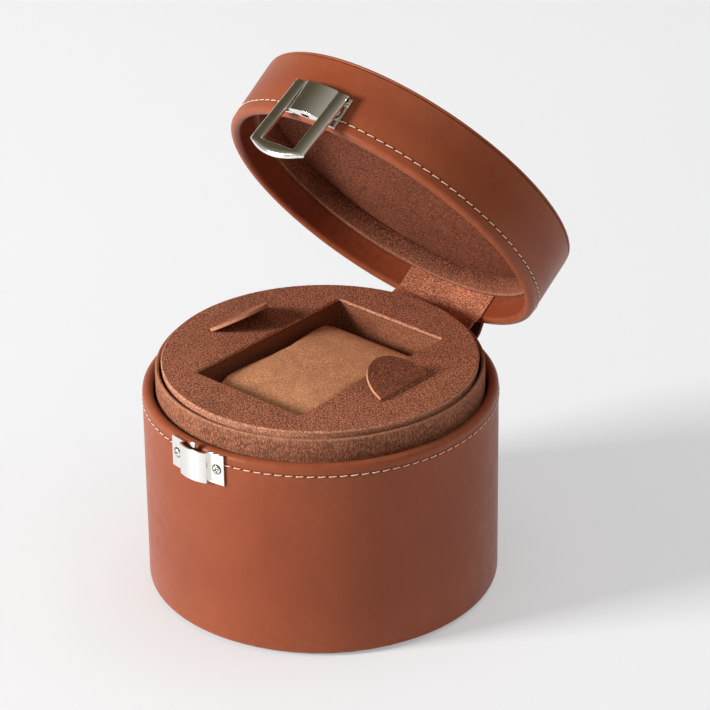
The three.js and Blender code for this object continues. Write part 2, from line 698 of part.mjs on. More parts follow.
const catchPlan = bridgePlan(PLATE_HALF, 6.8, 3, 4);
piece('catch_plate', carve(raised(outline(catchPlan.map(front)), CATCH_BOTTOM, CATCH_TOP), {
  cut: bothSides.map((side) => screwHole(side, CATCH_MIDDLE)),
}), nickel);

const PIN_OUT = 1.5;
piece('catch_pin', carve(
  box(-5, 5, -(RADIUS + 1.9), -(RADIUS + 0.35), CATCH_BOTTOM + 1, CATCH_BOTTOM + 5),
  {
    add: [
      rod('z', 0.85, CATCH_BOTTOM + 4, 85.6, [0, -(RADIUS + PIN_OUT)], 16),
      new THREE.SphereGeometry(0.85, 16, 8)
        .rotateX(Math.PI / 2)
        .translate(0, -(RADIUS + PIN_OUT), 85.6),
    ],
  },
), nickel);

const haspPlan = bridgePlan(PLATE_HALF, 7.6, 3.7, 4.6);
const haspEnd = raised(outline([
  [-7, 0.6],
  [-7, 3.2],
  [-3.5, 4.1],
  [3.5, 4.1],
  [7, 3.2],
  [7, 0.6],
].map(front)), HASP_BOTTOM, HASP_BOTTOM + PLATE);
const haspSlot = box(-2.2, 2.2, -(RADIUS + 2.6), -(RADIUS + 0.4), 80, HASP_BOTTOM + 3);
const pivotAt = [-(RADIUS + HASP_PIVOT_OUT), HASP_PIVOT_Z];
piece('hasp_plate', carve(raised(outline(haspPlan.map(front)), HASP_BOTTOM, HASP_TOP), {
  add: [haspEnd],
  cut: [
    haspSlot,
    rod('x', 0.8, -9, 9, pivotAt, 16),
    ...bothSides.map((side) => screwHole(side, HASP_MIDDLE)),
  ],
}), nickel, lid);
piece('hasp_pin', rod('x', 0.7, -BAR_HALF, BAR_HALF, pivotAt, 16), steel, lid);

for (const side of bothSides) {
  const hand = side < 0 ? 'left' : 'right';
  piece(`catch_screw_${hand}`, screw(side, CATCH_MIDDLE), nickel);
  piece(`hasp_screw_${hand}`, screw(side, HASP_MIDDLE), nickel, lid);
}

/** Two side bars and a round-ended bottom bar, bent to the drum, with knuckles at the top. */
function haspFrame() {
  const angle = (x) => THREE.MathUtils.radToDeg(Math.asin(x / BAR_INNER));
  const half = angle(BAR_HALF);
  const sheet = raised(outline([
    ...arcPoints(BAR_OUTER, -half, half, 10, -1),
    ...arcPoints(BAR_INNER, half, -half, 10, -1),
  ]), 60, HASP_PIVOT_Z);
  const face = new THREE.Shape();
  face.moveTo(-BAR_HALF, HASP_PIVOT_Z);
  face.lineTo(-BAR_HALF, WINDOW_BOTTOM - 1);
  face.quadraticCurveTo(0, WINDOW_BOTTOM - 9.4, BAR_HALF, WINDOW_BOTTOM - 1);
  face.lineTo(BAR_HALF, HASP_PIVOT_Z);
  const depth = 30;
  const facing = new THREE.ExtrudeGeometry(face, { depth, bevelEnabled: false, curveSegments: 12 })
    .rotateX(Math.PI / 2)
    .translate(0, -RADIUS + depth / 2, 0);
  const knuckles = bothSides.map((side) => {
    const [from, to] = side < 0 ? [-BAR_HALF, -WINDOW_HALF] : [WINDOW_HALF, BAR_HALF];
    return rod('x', 1.3, from, to, pivotAt, 20);
  });
  const body = solid(sheet)
    .intersect(solid(facing))
    .subtract(solid(box(-WINDOW_HALF, WINDOW_HALF, -90, -60, WINDOW_BOTTOM, 120)));
  const whole = knuckles.reduce((shape, knuckle) => shape.add(solid(knuckle)), body)
    .subtract(solid(rod('x', 0.8, -20, 20, pivotAt, 16)));
  return geometryOf(whole);
}
const haspHinge = new THREE.Group();
haspHinge.position.set(0, pivotAt[0] - HINGE_Y, pivotAt[1] - HINGE_Z);
haspHinge.rotation.x = -radians(HASP_REST);
lid.add(haspHinge);
piece('hasp_frame', haspFrame().translate(0, -pivotAt[0], -pivotAt[1]), nickel, haspHinge);

export default winderBox;
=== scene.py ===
import json
from math import asin, atan2, cos, pi, radians, sin, sqrt, tanh

import bmesh
import bpy
from mathutils import Matrix, Vector


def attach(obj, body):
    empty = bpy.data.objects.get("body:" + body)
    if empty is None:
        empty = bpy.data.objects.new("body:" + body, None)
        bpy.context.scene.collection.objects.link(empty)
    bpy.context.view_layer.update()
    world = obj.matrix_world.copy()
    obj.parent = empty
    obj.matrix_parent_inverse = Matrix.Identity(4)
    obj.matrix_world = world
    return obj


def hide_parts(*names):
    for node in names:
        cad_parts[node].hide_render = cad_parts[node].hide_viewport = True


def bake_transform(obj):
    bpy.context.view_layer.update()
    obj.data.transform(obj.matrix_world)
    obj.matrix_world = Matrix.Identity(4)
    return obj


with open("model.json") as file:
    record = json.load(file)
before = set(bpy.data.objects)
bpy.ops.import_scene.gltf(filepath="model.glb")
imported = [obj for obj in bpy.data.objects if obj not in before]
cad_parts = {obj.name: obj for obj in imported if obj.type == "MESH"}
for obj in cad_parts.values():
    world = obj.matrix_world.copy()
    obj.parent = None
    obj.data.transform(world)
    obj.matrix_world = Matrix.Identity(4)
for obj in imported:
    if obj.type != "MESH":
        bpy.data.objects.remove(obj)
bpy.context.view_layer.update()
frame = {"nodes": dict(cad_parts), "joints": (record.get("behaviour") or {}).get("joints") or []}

MM = 0.001
SHARP = radians(38)                # edges sharper than this are shaded as edges


# ---- places from the frame

joints = {joint["name"]: joint for joint in frame["joints"]}


def resting(joint):
    """How far a joint stands from its lowest limit at rest."""
    return radians(-joints[joint]["range_deg"][0])


def opened(share):
    """The lid's turn about its hinge from shut to as shown, or a share of it."""
    pivot = Vector(joints["lid_hinge"]["pos_m"])
    spin = Matrix.Rotation(resting("lid_hinge") * share, 4, Vector(joints["lid_hinge"]["axis"]))
    return Matrix.Translation(pivot) @ spin @ Matrix.Translation(-pivot)


OPEN = opened(1)
CLOSED = OPEN.inverted()
HERE = Matrix.Identity(4)


def extent(points):
    """The lowest and the highest x, y and z of some points."""
    points = list(points)
    return [Vector(pick(point[i] for point in points) for i in range(3)) for pick in (min, max)]


def sizes(node, view=HERE):
    """A node's lowest and highest corner, as seen after a move such as shutting the lid."""
    return extent(view @ vertex.co for vertex in frame["nodes"][node].data.vertices)


RADIUS = sizes("base_leather")[1].x
RIM = sizes("base_leather")[1].z


# ---- camera, light and floor

CAMERA_AZIMUTH = radians(41.905)
CAMERA_ELEVATION = radians(27.516)
CAMERA_ROLL = radians(-0.76)
CAMERA_DISTANCE = 1.3596
CAMERA_TARGET = Vector((10.18, 9.14, 94.77)) * MM
LENS, SENSOR = 176.24, 36          # both in mm


def direction(azimuth, elevation):
    """Unit vector towards azimuth (0 is the front, 90 the right) and elevation, in radians."""
    level = cos(elevation)
    return Vector((sin(azimuth) * level, -cos(azimuth) * level, sin(elevation)))


def add_camera():
    data = configure(bpy.data.cameras.new("camera"), lens=LENS, sensor_width=SENSOR)
    camera = bpy.data.objects.new("camera", data)
    back = direction(CAMERA_AZIMUTH, CAMERA_ELEVATION)
    level = Vector((cos(CAMERA_AZIMUTH), sin(CAMERA_AZIMUTH), 0))
    upright = back.cross(level)
    right = level * cos(CAMERA_ROLL) + upright * sin(CAMERA_ROLL)
    up = upright * cos(CAMERA_ROLL) - level * sin(CAMERA_ROLL)
    turn = Matrix((right, up, back)).transposed().to_4x4()
    camera.matrix_world = Matrix.Translation(CAMERA_TARGET + back * CAMERA_DISTANCE) @ turn
    bpy.context.scene.collection.objects.link(camera)
    bpy.context.scene.camera = camera


def add_light(name, azimuth, elevation, distance, size, watts, tint):
    """A soft rectangular lamp aimed at the middle of the object."""
    data = configure(bpy.data.lights.new(name, "AREA"), shape="RECTANGLE", size=size[0],
                     size_y=size[1], energy=watts, color=tint)
    lamp = bpy.data.objects.new(name, data)
    towards = direction(radians(azimuth), radians(elevation))
    lamp.location = Vector((0, 0, 90 * MM)) + towards * distance
    lamp.rotation_mode = "QUATERNION"
    lamp.rotation_quaternion = towards.to_track_quat("Z", "Y")
    bpy.context.scene.collection.objects.link(lamp)


def add_world():
    """A pale room with a warm, dimmer side high on the left."""
    room = Look("studio", world=True)
    warm_side = tuple(direction(radians(-118), radians(35)))
    along = room.node("ShaderNodeVectorMath", {0: room.place, 1: warm_side},
                      operation="DOT_PRODUCT")
    bpy.context.scene.world = room.set(
        Color=room.ramp(along["Value"], (0.55, (0.32, 0.298, 0.262, 1)),
                        (0.90, (0.085, 0.068, 0.04, 1))))


def add_floor():
    """A wide sweep of pale board, turned to face the camera."""
    bm = bmesh.new()
    half, flat, bend, top = 4.0, 1.6, 1.0, 1.6
    profile = [(-half, 0.0)]
    profile += [(flat + bend * sin(a), bend * (1 - cos(a))) for a in levels(0, pi / 2, 12)]
    profile.append((flat + bend, top))
    turn = Matrix.Rotation(CAMERA_AZIMUTH, 3, "Z")
    skin(bm, [[bm.verts.new(turn @ Vector((x, y, z))) for x in (-half, half)]
              for y, z in profile], closed=False)
    floor = finish_mesh("floor", bm)
    floor.data.materials.append(pale_board())


# ---- meshes

def configure(thing, **settings):
    """Sets several of a thing's properties."""
    for key, value in settings.items():
        setattr(thing, key, value)
    return thing


def modify(obj, name, kind, **settings):
    return configure(obj.modifiers.new(name, kind), **settings)


def finish_mesh(name, bm, place=HERE, sharp=SHARP):
    """A linked object from a bmesh: faces out, smooth, with sharp edges kept."""
    bmesh.ops.recalc_face_normals(bm, faces=bm.faces)
    bm.transform(place)
    mesh = bpy.data.meshes.new(name)
    bm.to_mesh(mesh)
    bm.free()
    mesh.shade_smooth()
    mesh.set_sharp_from_angle(angle=sharp)
    obj = bpy.data.objects.new(name, mesh)
    bpy.context.scene.collection.objects.link(obj)
    return obj


def levels(low, high, count):
    """Values from low to high in count even steps."""
    return [low + (high - low) * i / count for i in range(count + 1)]


def full_turn(sides):
    """The angles of a closed ring's points."""
    return [2 * pi * k / sides for k in range(sides)]


def arc(centre_r, centre_z, size, start, end, steps=8):
    """Points of a circular arc in an outline, from start to end in degrees."""
    return [(centre_r + size * cos(radians(a)), centre_z + size * sin(radians(a)))
            for a in levels(start, end, steps)]


def skin(bm, rows, closed=True, ends=False):
    """Faces between each row of vertices and the next. Closed rows join end to end."""
    faces = []
    for one, two in zip(rows, rows[1:]):
        for k in range(len(one) if closed else len(one) - 1):
            n = (k + 1) % len(one)
            faces.append(bm.faces.new((one[k], one[n], two[n], two[k])))
    if ends:
        bm.faces.new(rows[0][::-1])
        bm.faces.new(rows[-1])
    return faces


def oval(bm, middle, across, up, half_width, half_height, sides):
    """A ring of vertices round a middle."""
    return [bm.verts.new(middle + across * half_width * cos(a) + up * half_height * sin(a))
            for a in full_turn(sides)]


def turning(outline, i):
    """How sharply a closed outline turns outwards at point i, from 0 to 1."""
    before, here, after = (Vector(outline[(i + k) % len(outline)]) for k in (-1, 0, 1))
    a, b = here - before, after - here
    if a.length < 1e-9 or b.length < 1e-9:
        return 0.0
    angle = atan2(a.x * b.y - a.y * b.x, a.dot(b))
    return min(1.0, max(0.0, angle / radians(14)))


def area_of(outline):
    pairs = zip(outline, outline[1:] + outline[:1])
    return sum(a[0] * b[1] - b[0] * a[1] for a, b in pairs) / 2


def turned(name, outline, place=HERE, sides=224):
    """A closed outline of (radius, height) turned about Z. Points at radius 0 are poles."""
    sign = 1 if area_of(outline) > 0 else -1
    wear = [turning(outline[::sign], i) for i in range(len(outline))][::sign]
    bm = bmesh.new()
    layer = bm.verts.layers.float.new("wear")
    rings = []
    for (r, z), worn in zip(outline, wear):
        angles = [0.0] if r < 1e-9 else full_turn(sides)
        ring = [bm.verts.new((r * cos(a), r * sin(a), z)) for a in angles]
        for vertex in ring:
            vertex[layer] = worn if len(ring) > 1 else 0.0
        rings.append(ring)
    for one, two in zip(rings, rings[1:] + rings[:1]):
        if len(one) == 1 and len(two) == 1:
            continue
        for k in range(sides):
            n = (k + 1) % sides
            corners = [one[k % len(one)], one[n % len(one)],
                       two[n % len(two)], two[k % len(two)]]
            bm.faces.new(dict.fromkeys(corners))
    return finish_mesh(name, bm, place)


def flat_faces(obj):
    """Keeps broad faces looking flat beside small rounded edges."""
    modify(obj, "flat_faces", "WEIGHTED_NORMAL", keep_sharp=True)
    return obj


def cut_sheet(name, loops, low, high, rounding):
    """Flat stock with outlines and holes, its cut edges rounded over."""
    curve = configure(bpy.data.curves.new(name, "CURVE"), dimensions="2D", fill_mode="BOTH",
                      extrude=(high - low) / 2 - rounding, bevel_depth=rounding,
                      bevel_resolution=4, offset=-rounding)
    for loop in loops:
        spline = curve.splines.new("POLY")
        spline.points.add(len(loop) - 1)
        for point, (x, y) in zip(spline.points, loop):
            point.co = (x, y, 0, 1)
        spline.use_cyclic_u = True
    scratch = bpy.data.objects.new(name + "_outline", curve)
    bpy.context.scene.collection.objects.link(scratch)
    graph = bpy.context.evaluated_depsgraph_get()
    mesh = bpy.data.meshes.new_from_object(scratch.evaluated_get(graph))
    bpy.data.objects.remove(scratch)
    bm = bmesh.new()
    bm.from_mesh(mesh)
    bpy.data.meshes.remove(mesh)
    bmesh.ops.remove_doubles(bm, verts=bm.verts, dist=0.002 * MM)
    bmesh.ops.translate(bm, verts=bm.verts, vec=(0, 0, (low + high) / 2))
    layer = bm.verts.layers.float.new("wear")
    for vertex in bm.verts:
        depth = min(high - vertex.co.z, vertex.co.z - low)
        vertex[layer] = 0.6 if 0.05 * rounding < depth < 1.2 * rounding else 0.0
    return baked(flat_faces(finish_mesh(name, bm)))


def rectangle(half_x, half_y, corner, steps=5):
    """A rounded rectangle about the origin."""
    points = []
    for start, sx, sy in ((0, 1, 1), (90, -1, 1), (180, -1, -1), (270, 1, -1)):
        points += arc(sx * (half_x - corner), sy * (half_y - corner), corner,
                      start, start + 90, steps)
    return points


def circle(radius, sides=224):
    return [(radius * cos(a), radius * sin(a)) for a in full_turn(sides)]


def baked(obj):
    """The object with its modifiers applied."""
    graph = bpy.context.evaluated_depsgraph_get()
    mesh = bpy.data.meshes.new_from_object(obj.evaluated_get(graph))
    obj.modifiers.clear()
    obj.data = mesh
    return obj


def cut_away(obj, cutter):
    """Bakes the object with the cutter's shape taken out of it."""
    modify(obj, "cut", "BOOLEAN", object=cutter, operation="DIFFERENCE", solver="EXACT")
    baked(obj)
    bpy.data.objects.remove(cutter)
    return obj


def join(main, *others):
    """Adds the others' faces to the first mesh."""
    bm = bmesh.new()
    for obj in (main, *others):
        bm.from_mesh(obj.data)
    bm.to_mesh(main.data)
    bm.free()
    main.data.set_sharp_from_angle(angle=SHARP)
    for obj in others:
        bpy.data.objects.remove(obj)
    return main


def raised(name, outline, low, high, bevel, bend=None, strips=0, place=HERE):
    """A plan outline raised from low to high, cut into strips, edges bevelled, then bent."""
    bm = bmesh.new()
    bm.faces.new([bm.verts.new((x, y, low)) for x, y in outline])
    if strips:
        left, right = min(p[0] for p in outline), max(p[0] for p in outline)
        for x in levels(left, right, strips)[1:-1]:
            everything = bm.verts[:] + bm.edges[:] + bm.faces[:]
            bmesh.ops.bisect_plane(bm, geom=everything, plane_co=(x, 0, 0), plane_no=(1, 0, 0))
    grown = bmesh.ops.extrude_face_region(bm, geom=bm.faces[:])
    top = [item for item in grown["geom"] if isinstance(item, bmesh.types.BMVert)]
    bmesh.ops.translate(bm, verts=top, vec=(0, 0, high - low))
    bmesh.ops.recalc_face_normals(bm, faces=bm.faces)
    corners = [edge for edge in bm.edges
               if len(edge.link_faces) == 2 and edge.calc_face_angle() > radians(35)]
    bmesh.ops.bevel(bm, geom=corners, offset=bevel, segments=3,
                    profile=0.5, affect="EDGES", clamp_overlap=True)
    if bend:
        for vertex in bm.verts:
            vertex.co = bend(vertex.co)
    return flat_faces(finish_mesh(name, bm, place, radians(30)))


def show(obj, look, body, slot, *stands_for):
    """Gives a piece its material, the body it rides on and the nodes it stands for; the slot is
    not used.
    """
    chosen = [face.material_index for face in obj.data.polygons]
    obj.data.materials.clear()
    for each in look if isinstance(look, list) else [look]:
        obj.data.materials.append(each)
    obj.data.polygons.foreach_set("material_index", chosen)
    if isinstance(body, str):
        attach(obj, body)
    else:
        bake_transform(obj)
    if stands_for:
        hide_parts(*stands_for)
    return obj


# ---- materials

class Look:
    """A small helper for writing a procedural material, or the world, as a few lines."""

    def __init__(self, name, world=False):
        self.owner = (bpy.data.worlds if world else bpy.data.materials).new(name)
        self.owner.use_nodes = True
        self.tree = self.owner.node_tree
        self.shader = self.tree.nodes["Background" if world else "Principled BSDF"]
        self.place = self.node("ShaderNodeTexCoord")["Generated" if world else "Object"]

    def feed(self, socket, value):
        """Sets a socket to a number or colour, or links anything else to it."""
        if isinstance(value, (int, float, tuple)):
            socket.default_value = value
        else:
            self.tree.links.new(value, socket)

    def node(self, kind, inputs=None, **settings):
        """Adds a node, feeds its sockets by name or number, and gives its outputs."""
        made = configure(self.tree.nodes.new(kind), **settings)
        for key, value in (inputs or {}).items():
            self.feed(made.inputs[key], value)
        return made.outputs

    def stretched(self, x, y, z):
        """Object coordinates scaled along each axis."""
        inputs = {"Vector": self.place, "Scale": (x, y, z)}
        return self.node("ShaderNodeMapping", inputs)["Vector"]

    def noise(self, size, detail=2.0, rough=0.5, distortion=0.0, place=None):
        """Noise whose blotches are about size metres across."""
        inputs = {"Vector": place or self.place, "Scale": 1 / size, "Detail": detail,
                  "Roughness": rough, "Distortion": distortion}
        return self.node("ShaderNodeTexNoise", inputs)["Fac"]

    def cells(self, size, feature="F1", place=None):
        inputs = {"Vector": place or self.place, "Scale": 1 / size}
        return self.node("ShaderNodeTexVoronoi", inputs, feature=feature)["Distance"]

    def ramp(self, source, *stops):
        """A value turned into a colour, by stops of (position, colour)."""
        made = self.tree.nodes.new("ShaderNodeValToRGB")
        band = made.color_ramp
        while len(band.elements) < len(stops):
            band.elements.new(0.5)
        for element, (position, colour) in zip(band.elements, stops):
            element.position = position
            element.color = colour
        self.feed(made.inputs["Fac"], source)
        return made.outputs["Color"]

    def span(self, source, low, high, out_low=0.0, out_high=1.0):
        """A value's range carried over to another range."""
        inputs = {"Value": source, "From Min": low, "From Max": high,
                  "To Min": out_low, "To Max": out_high}
        return self.node("ShaderNodeMapRange", inputs)["Result"]

    def varied(self, pattern, low, high):
        """A pattern's usual reach carried over to a range."""
        return self.span(pattern, 0.3, 0.7, low, high)

    def math(self, operation, a, b):
        return self.node("ShaderNodeMath", {0: a, 1: b}, operation=operation)["Value"]

    def blend(self, a, share, b):
        """The first pattern's share, and the second for the rest."""
        return self.math("ADD", self.math("MULTIPLY", a, share),
                         self.math("MULTIPLY", b, round(1 - share, 3)))

    def mix(self, factor, a, b, blend="MIX"):
        return self.node("ShaderNodeMix", {"Factor": factor, 6: a, 7: b},
                         data_type="RGBA", blend_type=blend)[2]

    def tinted(self, base, pattern, low, low_tint, high, high_tint):
        """The base multiplied by a tint that follows a pattern."""
        tint = self.ramp(pattern, (low, low_tint + (1,)), (high, high_tint + (1,)))
        return self.mix(1.0, base, tint, "MULTIPLY")

    def wear(self):
        return self.node("ShaderNodeAttribute", attribute_name="wear")["Fac"]

    def bump(self, height, distance, strength=1.0, under=None):
        inputs = {"Height": height, "Distance": distance, "Strength": strength}
        if under:
            inputs["Normal"] = under
        return self.node("ShaderNodeBump", inputs)["Normal"]

    def set(self, **values):
        """Feeds the shader's sockets, and gives the finished material or world."""
        for key, value in values.items():
            self.feed(self.shader.inputs[key.replace("_", " ")], value)
        return self.owner


def colour(*srgb):
    """An sRGB colour, 0 to 255, in the linear values that shaders use."""
    def linear(v):
        return v / 12.92 if v <= 0.04045 else ((v + 0.055) / 1.055) ** 2.4
    return tuple(linear(v / 255) for v in srgb) + (1.0,)


def shade(tone, gain, lift=0.0):
    """A colour made darker or lighter."""
    return tuple(min(1.0, c * gain + lift) for c in tone[:3]) + (1.0,)


def leather(name, *tones, rough=0.4):
    """Smooth waxed hide: soft mottling, fine pores and paler edges."""
    dark, middle, light, edge = (colour(*tone) for tone in tones)
    look = Look(name)
    cloudy = look.noise(34 * MM, 3, 0.55, 0.6)
    blotches = look.blend(cloudy, 0.7, look.noise(5 * MM, 4, 0.65))
    base = look.ramp(blotches, (0.25, dark), (0.5, middle), (0.75, light))
    pores = look.cells(0.55 * MM)
    pits = look.span(pores, 0.0, 0.25, 0.90, 1.0)
    speckled = look.tinted(base, pits, 0.9, (0.86, 0.84, 0.82), 1.0, (1, 1, 1))
    rubbed = look.span(look.noise(3 * MM, 3), 0.25, 0.75, 0.1, 0.55)
    wavy = look.bump(look.noise(16 * MM, 2), 0.5 * MM, 0.35)
    grained = look.bump(look.noise(0.7 * MM, 3, 0.6), 0.05 * MM, 0.8, wavy)
    return look.set(
        Base_Color=look.mix(look.math("MULTIPLY", look.wear(), rubbed), speckled, edge),
        Roughness=look.varied(look.noise(7 * MM, 4, 0.7), rough - 0.06, rough + 0.07),
        Normal=look.bump(pores, 0.03 * MM, 0.35, grained),
        Specular_IOR_Level=0.23,
        Coat_Weight=0.02,
        Coat_Roughness=0.25,
    )


def suede(name, *tones, pile, contrast, stretch=None):
    """Brushed pile: clumps of fibre that catch the light, over broad marks of the hand."""
    dark, middle, light, edge = (colour(*tone) for tone in tones)
    look = Look(name)
    pile = pile * MM
    place = look.stretched(*stretch) if stretch else None
    clumps = look.noise(pile, 4, 0.72, 0.0, place)
    fibres = look.noise(pile * 0.5, 3, 0.75, 0.4, place)
    reach = 0.07 / contrast
    matted = look.ramp(look.blend(clumps, 0.6, fibres),
                       (0.5 - reach, dark), (0.5, middle), (0.5 + reach, light))
    tips = look.span(look.cells(pile * 1.5, place=place), 0.30, 0.10, 0.0, 0.7)
    brushed = look.span(look.noise(13 * MM, 3, 0.55, 0.8), 0.3, 0.7, 0.0, 1.0)
    shaded = look.tinted(look.mix(tips, matted, edge), brushed,
                         0.0, (0.82, 0.81, 0.80), 1.0, (1.1, 1.08, 1.06))
    worn = look.math("MULTIPLY", look.wear(), look.span(clumps, 0.3, 0.7, 0.25, 0.85))
    rough = look.bump(clumps, 0.2 * MM, 0.9)
    return look.set(
        Base_Color=look.mix(worn, shaded, edge),
        Roughness=look.varied(clumps, 0.86, 0.98),
        Normal=look.bump(fibres, 0.1 * MM, 0.7, rough),
        Specular_IOR_Level=0.12,
        Sheen_Weight=0.14,
        Sheen_Roughness=0.45,
        Sheen_Tint=colour(232, 150, 108),
    )


def metal(name, tone, rough, brushing=0.0):
    """Plated or bare metal with faint rubbed marks and fine hairlines."""
    look = Look(name)
    rubbed = look.noise(2.2 * MM, 4, 0.7)
    hairlines = look.noise(0.35 * MM, 2, 0.5, 0.0, look.stretched(1, 1, 0.08))
    return look.set(
        Base_Color=look.mix(look.span(rubbed, 0.35, 0.75, 0.0, 0.35), tone, shade(tone, 0.86)),
        Metallic=1.0,
        Roughness=look.varied(rubbed, rough - 0.03, rough + 0.05),
        Normal=look.bump(hairlines, 0.01 * MM, 0.15 + brushing),
    )


def moulded(name, tone, rough):
    """Moulded plastic with a fine spark-eroded texture."""
    look = Look(name)
    fine = look.noise(0.25 * MM, 3, 0.6)
    cloudy = look.span(look.noise(9 * MM, 3), 0.3, 0.7)
    return look.set(
        Base_Color=look.mix(cloudy, tone, shade(tone, 1.25, 0.004)),
        Roughness=look.varied(fine, rough - 0.08, rough + 0.1),
        Normal=look.bump(fine, 0.04 * MM, 0.5),
    )


def fibre_board(name, tone):
    """Grey-brown pressed board with stray fibres."""
    look = Look(name)
    flecks = look.noise(1.1 * MM, 4, 0.7, 1.2)
    layers = look.noise(0.5 * MM, 2, 0.5, 0.0, look.stretched(0.2, 0.2, 1))
    return look.set(
        Base_Color=look.mix(look.span(flecks, 0.35, 0.7), tone, shade(tone, 0.62)),
        Roughness=look.varied(flecks, 0.72, 0.92),
        Normal=look.bump(layers, 0.1 * MM, 0.5),
    )


def felted(name, tone):
    """Pressed wool felt: matted fibres of slightly different lightness."""
    look = Look(name)
    matted = look.noise(1.4 * MM, 5, 0.75, 2.5)
    return look.set(
        Base_Color=look.mix(look.span(matted, 0.35, 0.72), tone, shade(tone, 1.9, 0.01)),
        Roughness=look.varied(matted, 0.88, 1.0),
        Normal=look.bump(matted, 0.4 * MM, 0.9),
        Sheen_Weight=0.4,
        Sheen_Roughness=0.6,
    )


def open_foam(name, tone):
    look = Look(name)
    bubbles = look.cells(0.8 * MM)
    return look.set(
        Base_Color=look.mix(look.span(bubbles, 0.1, 0.5), shade(tone, 0.5), tone),
        Roughness=look.span(bubbles, 0.0, 0.6, 0.85, 0.98),
        Normal=look.bump(bubbles, 0.3 * MM, 0.8),
    )


def etched_board(name):
    """Circuit board: green resist over darker copper runs."""
    look = Look(name)
    runs = look.cells(4 * MM, "DISTANCE_TO_EDGE")
    track = look.span(runs, 0.02, 0.05)
    return look.set(
        Base_Color=look.mix(track, colour(70, 140, 84), colour(22, 84, 48)),
        Roughness=look.varied(look.noise(3 * MM, 3), 0.28, 0.42),
        Normal=look.bump(track, 0.05 * MM, 0.6),
    )


def waxed_thread(name, tone):
    """Twisted linen thread: two plies wound round each other."""
    look = Look(name)
    inputs = {"Vector": look.node("ShaderNodeUVMap")["UV"], "Scale": 1.6, "Distortion": 0.6}
    twist = look.node("ShaderNodeTexWave", inputs, bands_direction="DIAGONAL")["Fac"]
    fluff = look.noise(0.2 * MM, 3, 0.7)
    return look.set(
        Base_Color=look.mix(look.span(twist, 0.1, 0.6), shade(tone, 0.78), tone),
        Roughness=look.varied(fluff, 0.6, 0.82),
        Normal=look.bump(twist, 0.08 * MM, 0.7),
        Sheen_Weight=0.2,
    )


# dark colour for the mouths of needle holes, the ring round each screw head and its cross recess:
# painted shade
def painted_hole_shade(name):
    look = Look(name)
    frayed = look.noise(0.3 * MM, 3)
    return look.set(
        Base_Color=look.mix(frayed, colour(38, 17, 10), colour(72, 34, 21)),
        Roughness=look.varied(frayed, 0.8, 0.95),
    )


def pale_board():
    """The floor's pale card, greyer far away."""
    look = Look("pale_board")
    away = look.node("ShaderNodeVectorMath", {0: look.place}, operation="LENGTH")["Value"]
    pale = look.mix(look.noise(0.4, 2), (0.605, 0.617, 0.638, 1), (0.625, 0.637, 0.655, 1))
    faded = look.mix(look.span(away, 0.8, 1.7, 1.0, 0.5), (0.2, 0.2, 0.2, 1), pale)
    return look.set(
        Base_Color=faded,
        Roughness=0.55,
        Specular_IOR_Level=0.2,
        Emission_Color=faded,
        Emission_Strength=0.535,
    )


# leather and suede: dark, middle, light and worn edge; pile in mm
COGNAC = leather("cognac_leather", (133, 64, 37), (140, 68, 40), (148, 73, 44), (176, 100, 66))
# a darker copy of the cognac leather for the inside of the lid's band: painted shade
SHADED_LEATHER = leather("band_leather_painted_shade", (112, 47, 25), (120, 51, 28), (129, 56, 31), (162, 86, 56))
STRAP = leather("strap_leather", (78, 37, 25), (94, 46, 30), (108, 55, 36), (152, 90, 61),
                rough=0.5)
BROWN_SUEDE = suede("brown_suede", (92, 43, 31), (128, 69, 50), (216, 142, 111),
                    (238, 178, 146), pile=0.72, contrast=1.6)
TAB_SUEDE = suede("tab_suede", (114, 58, 43), (150, 85, 63), (206, 136, 106),
                  (230, 168, 138), pile=0.6, contrast=1.1)
COLLAR_SUEDE = suede("collar_suede", (100, 54, 40), (122, 70, 52), (170, 112, 86),
                     (204, 148, 116), pile=0.6, contrast=1.3, stretch=(1, 1, 0.4))
TAN_SUEDE = suede("tan_suede", (184, 118, 82), (212, 145, 104), (238, 182, 140),
                  (244, 198, 158), pile=0.6, contrast=1.1)
LID_SUEDE = suede("lid_suede", (60, 25, 17), (86, 41, 29), (150, 88, 66),
                  (184, 124, 98), pile=0.7, contrast=1.6)
# a darker copy of the brown suede for the pocket's walls and floor: painted shade
POCKET_SHADED_SUEDE = suede("pocket_suede_painted_shade", (62, 28, 18), (90, 45, 31), (144, 86, 62),
                     (188, 124, 92), pile=0.62, contrast=1.3)
GUSSET_SUEDE = suede("gusset_suede", (126, 66, 47), (164, 94, 68), (224, 151, 118),
                     (236, 170, 136), pile=0.66, contrast=1.4)
CUT_SUEDE = suede("cut_suede_edge", (172, 112, 82), (208, 144, 110), (230, 172, 138),
                  (234, 178, 144), pile=0.4, contrast=0.8)
NICKEL = metal("polished_nickel", (0.91, 0.90, 0.86, 1.0), 0.13)
STEEL = metal("bare_steel", (0.55, 0.55, 0.55, 1.0), 0.32, 0.2)
BRASS = metal("brass", (0.68, 0.48, 0.20, 1.0), 0.3, 0.2)
BLACK_PLASTIC = moulded("black_plastic", colour(30, 30, 31), 0.5)
WHITE_PLASTIC = moulded("white_plastic", colour(214, 212, 202), 0.45)
BOARD = fibre_board("fibre_board", colour(176, 148, 116))
FELT = felted("felt", colour(48, 34, 27))
FOAM = open_foam("foam", colour(206, 198, 180))
CIRCUIT = etched_board("circuit_board")
THREAD = waxed_thread("waxed_thread", colour(252, 214, 184))
HOLE_SHADE = painted_hole_shade("painted_hole_shade")


# ---- stitching

STITCH_PITCH = 4.15 * MM
STITCH_LENGTH = 3.15 * MM
STITCH_SLANT = 0.13 * MM           # sideways shift of each end
THREAD_HALF = 0.225 * MM
THREAD_SINK = 0.1 * MM             # how far the thread's ends go into the leather
HOLE_LONG, HOLE_WIDE = 0.4 * MM, 0.28 * MM
CATCH_HIDES, HASP_HIDES, STRAP_HIDES = 12.4 * MM, 12.6 * MM, 20.5 * MM    # to each side


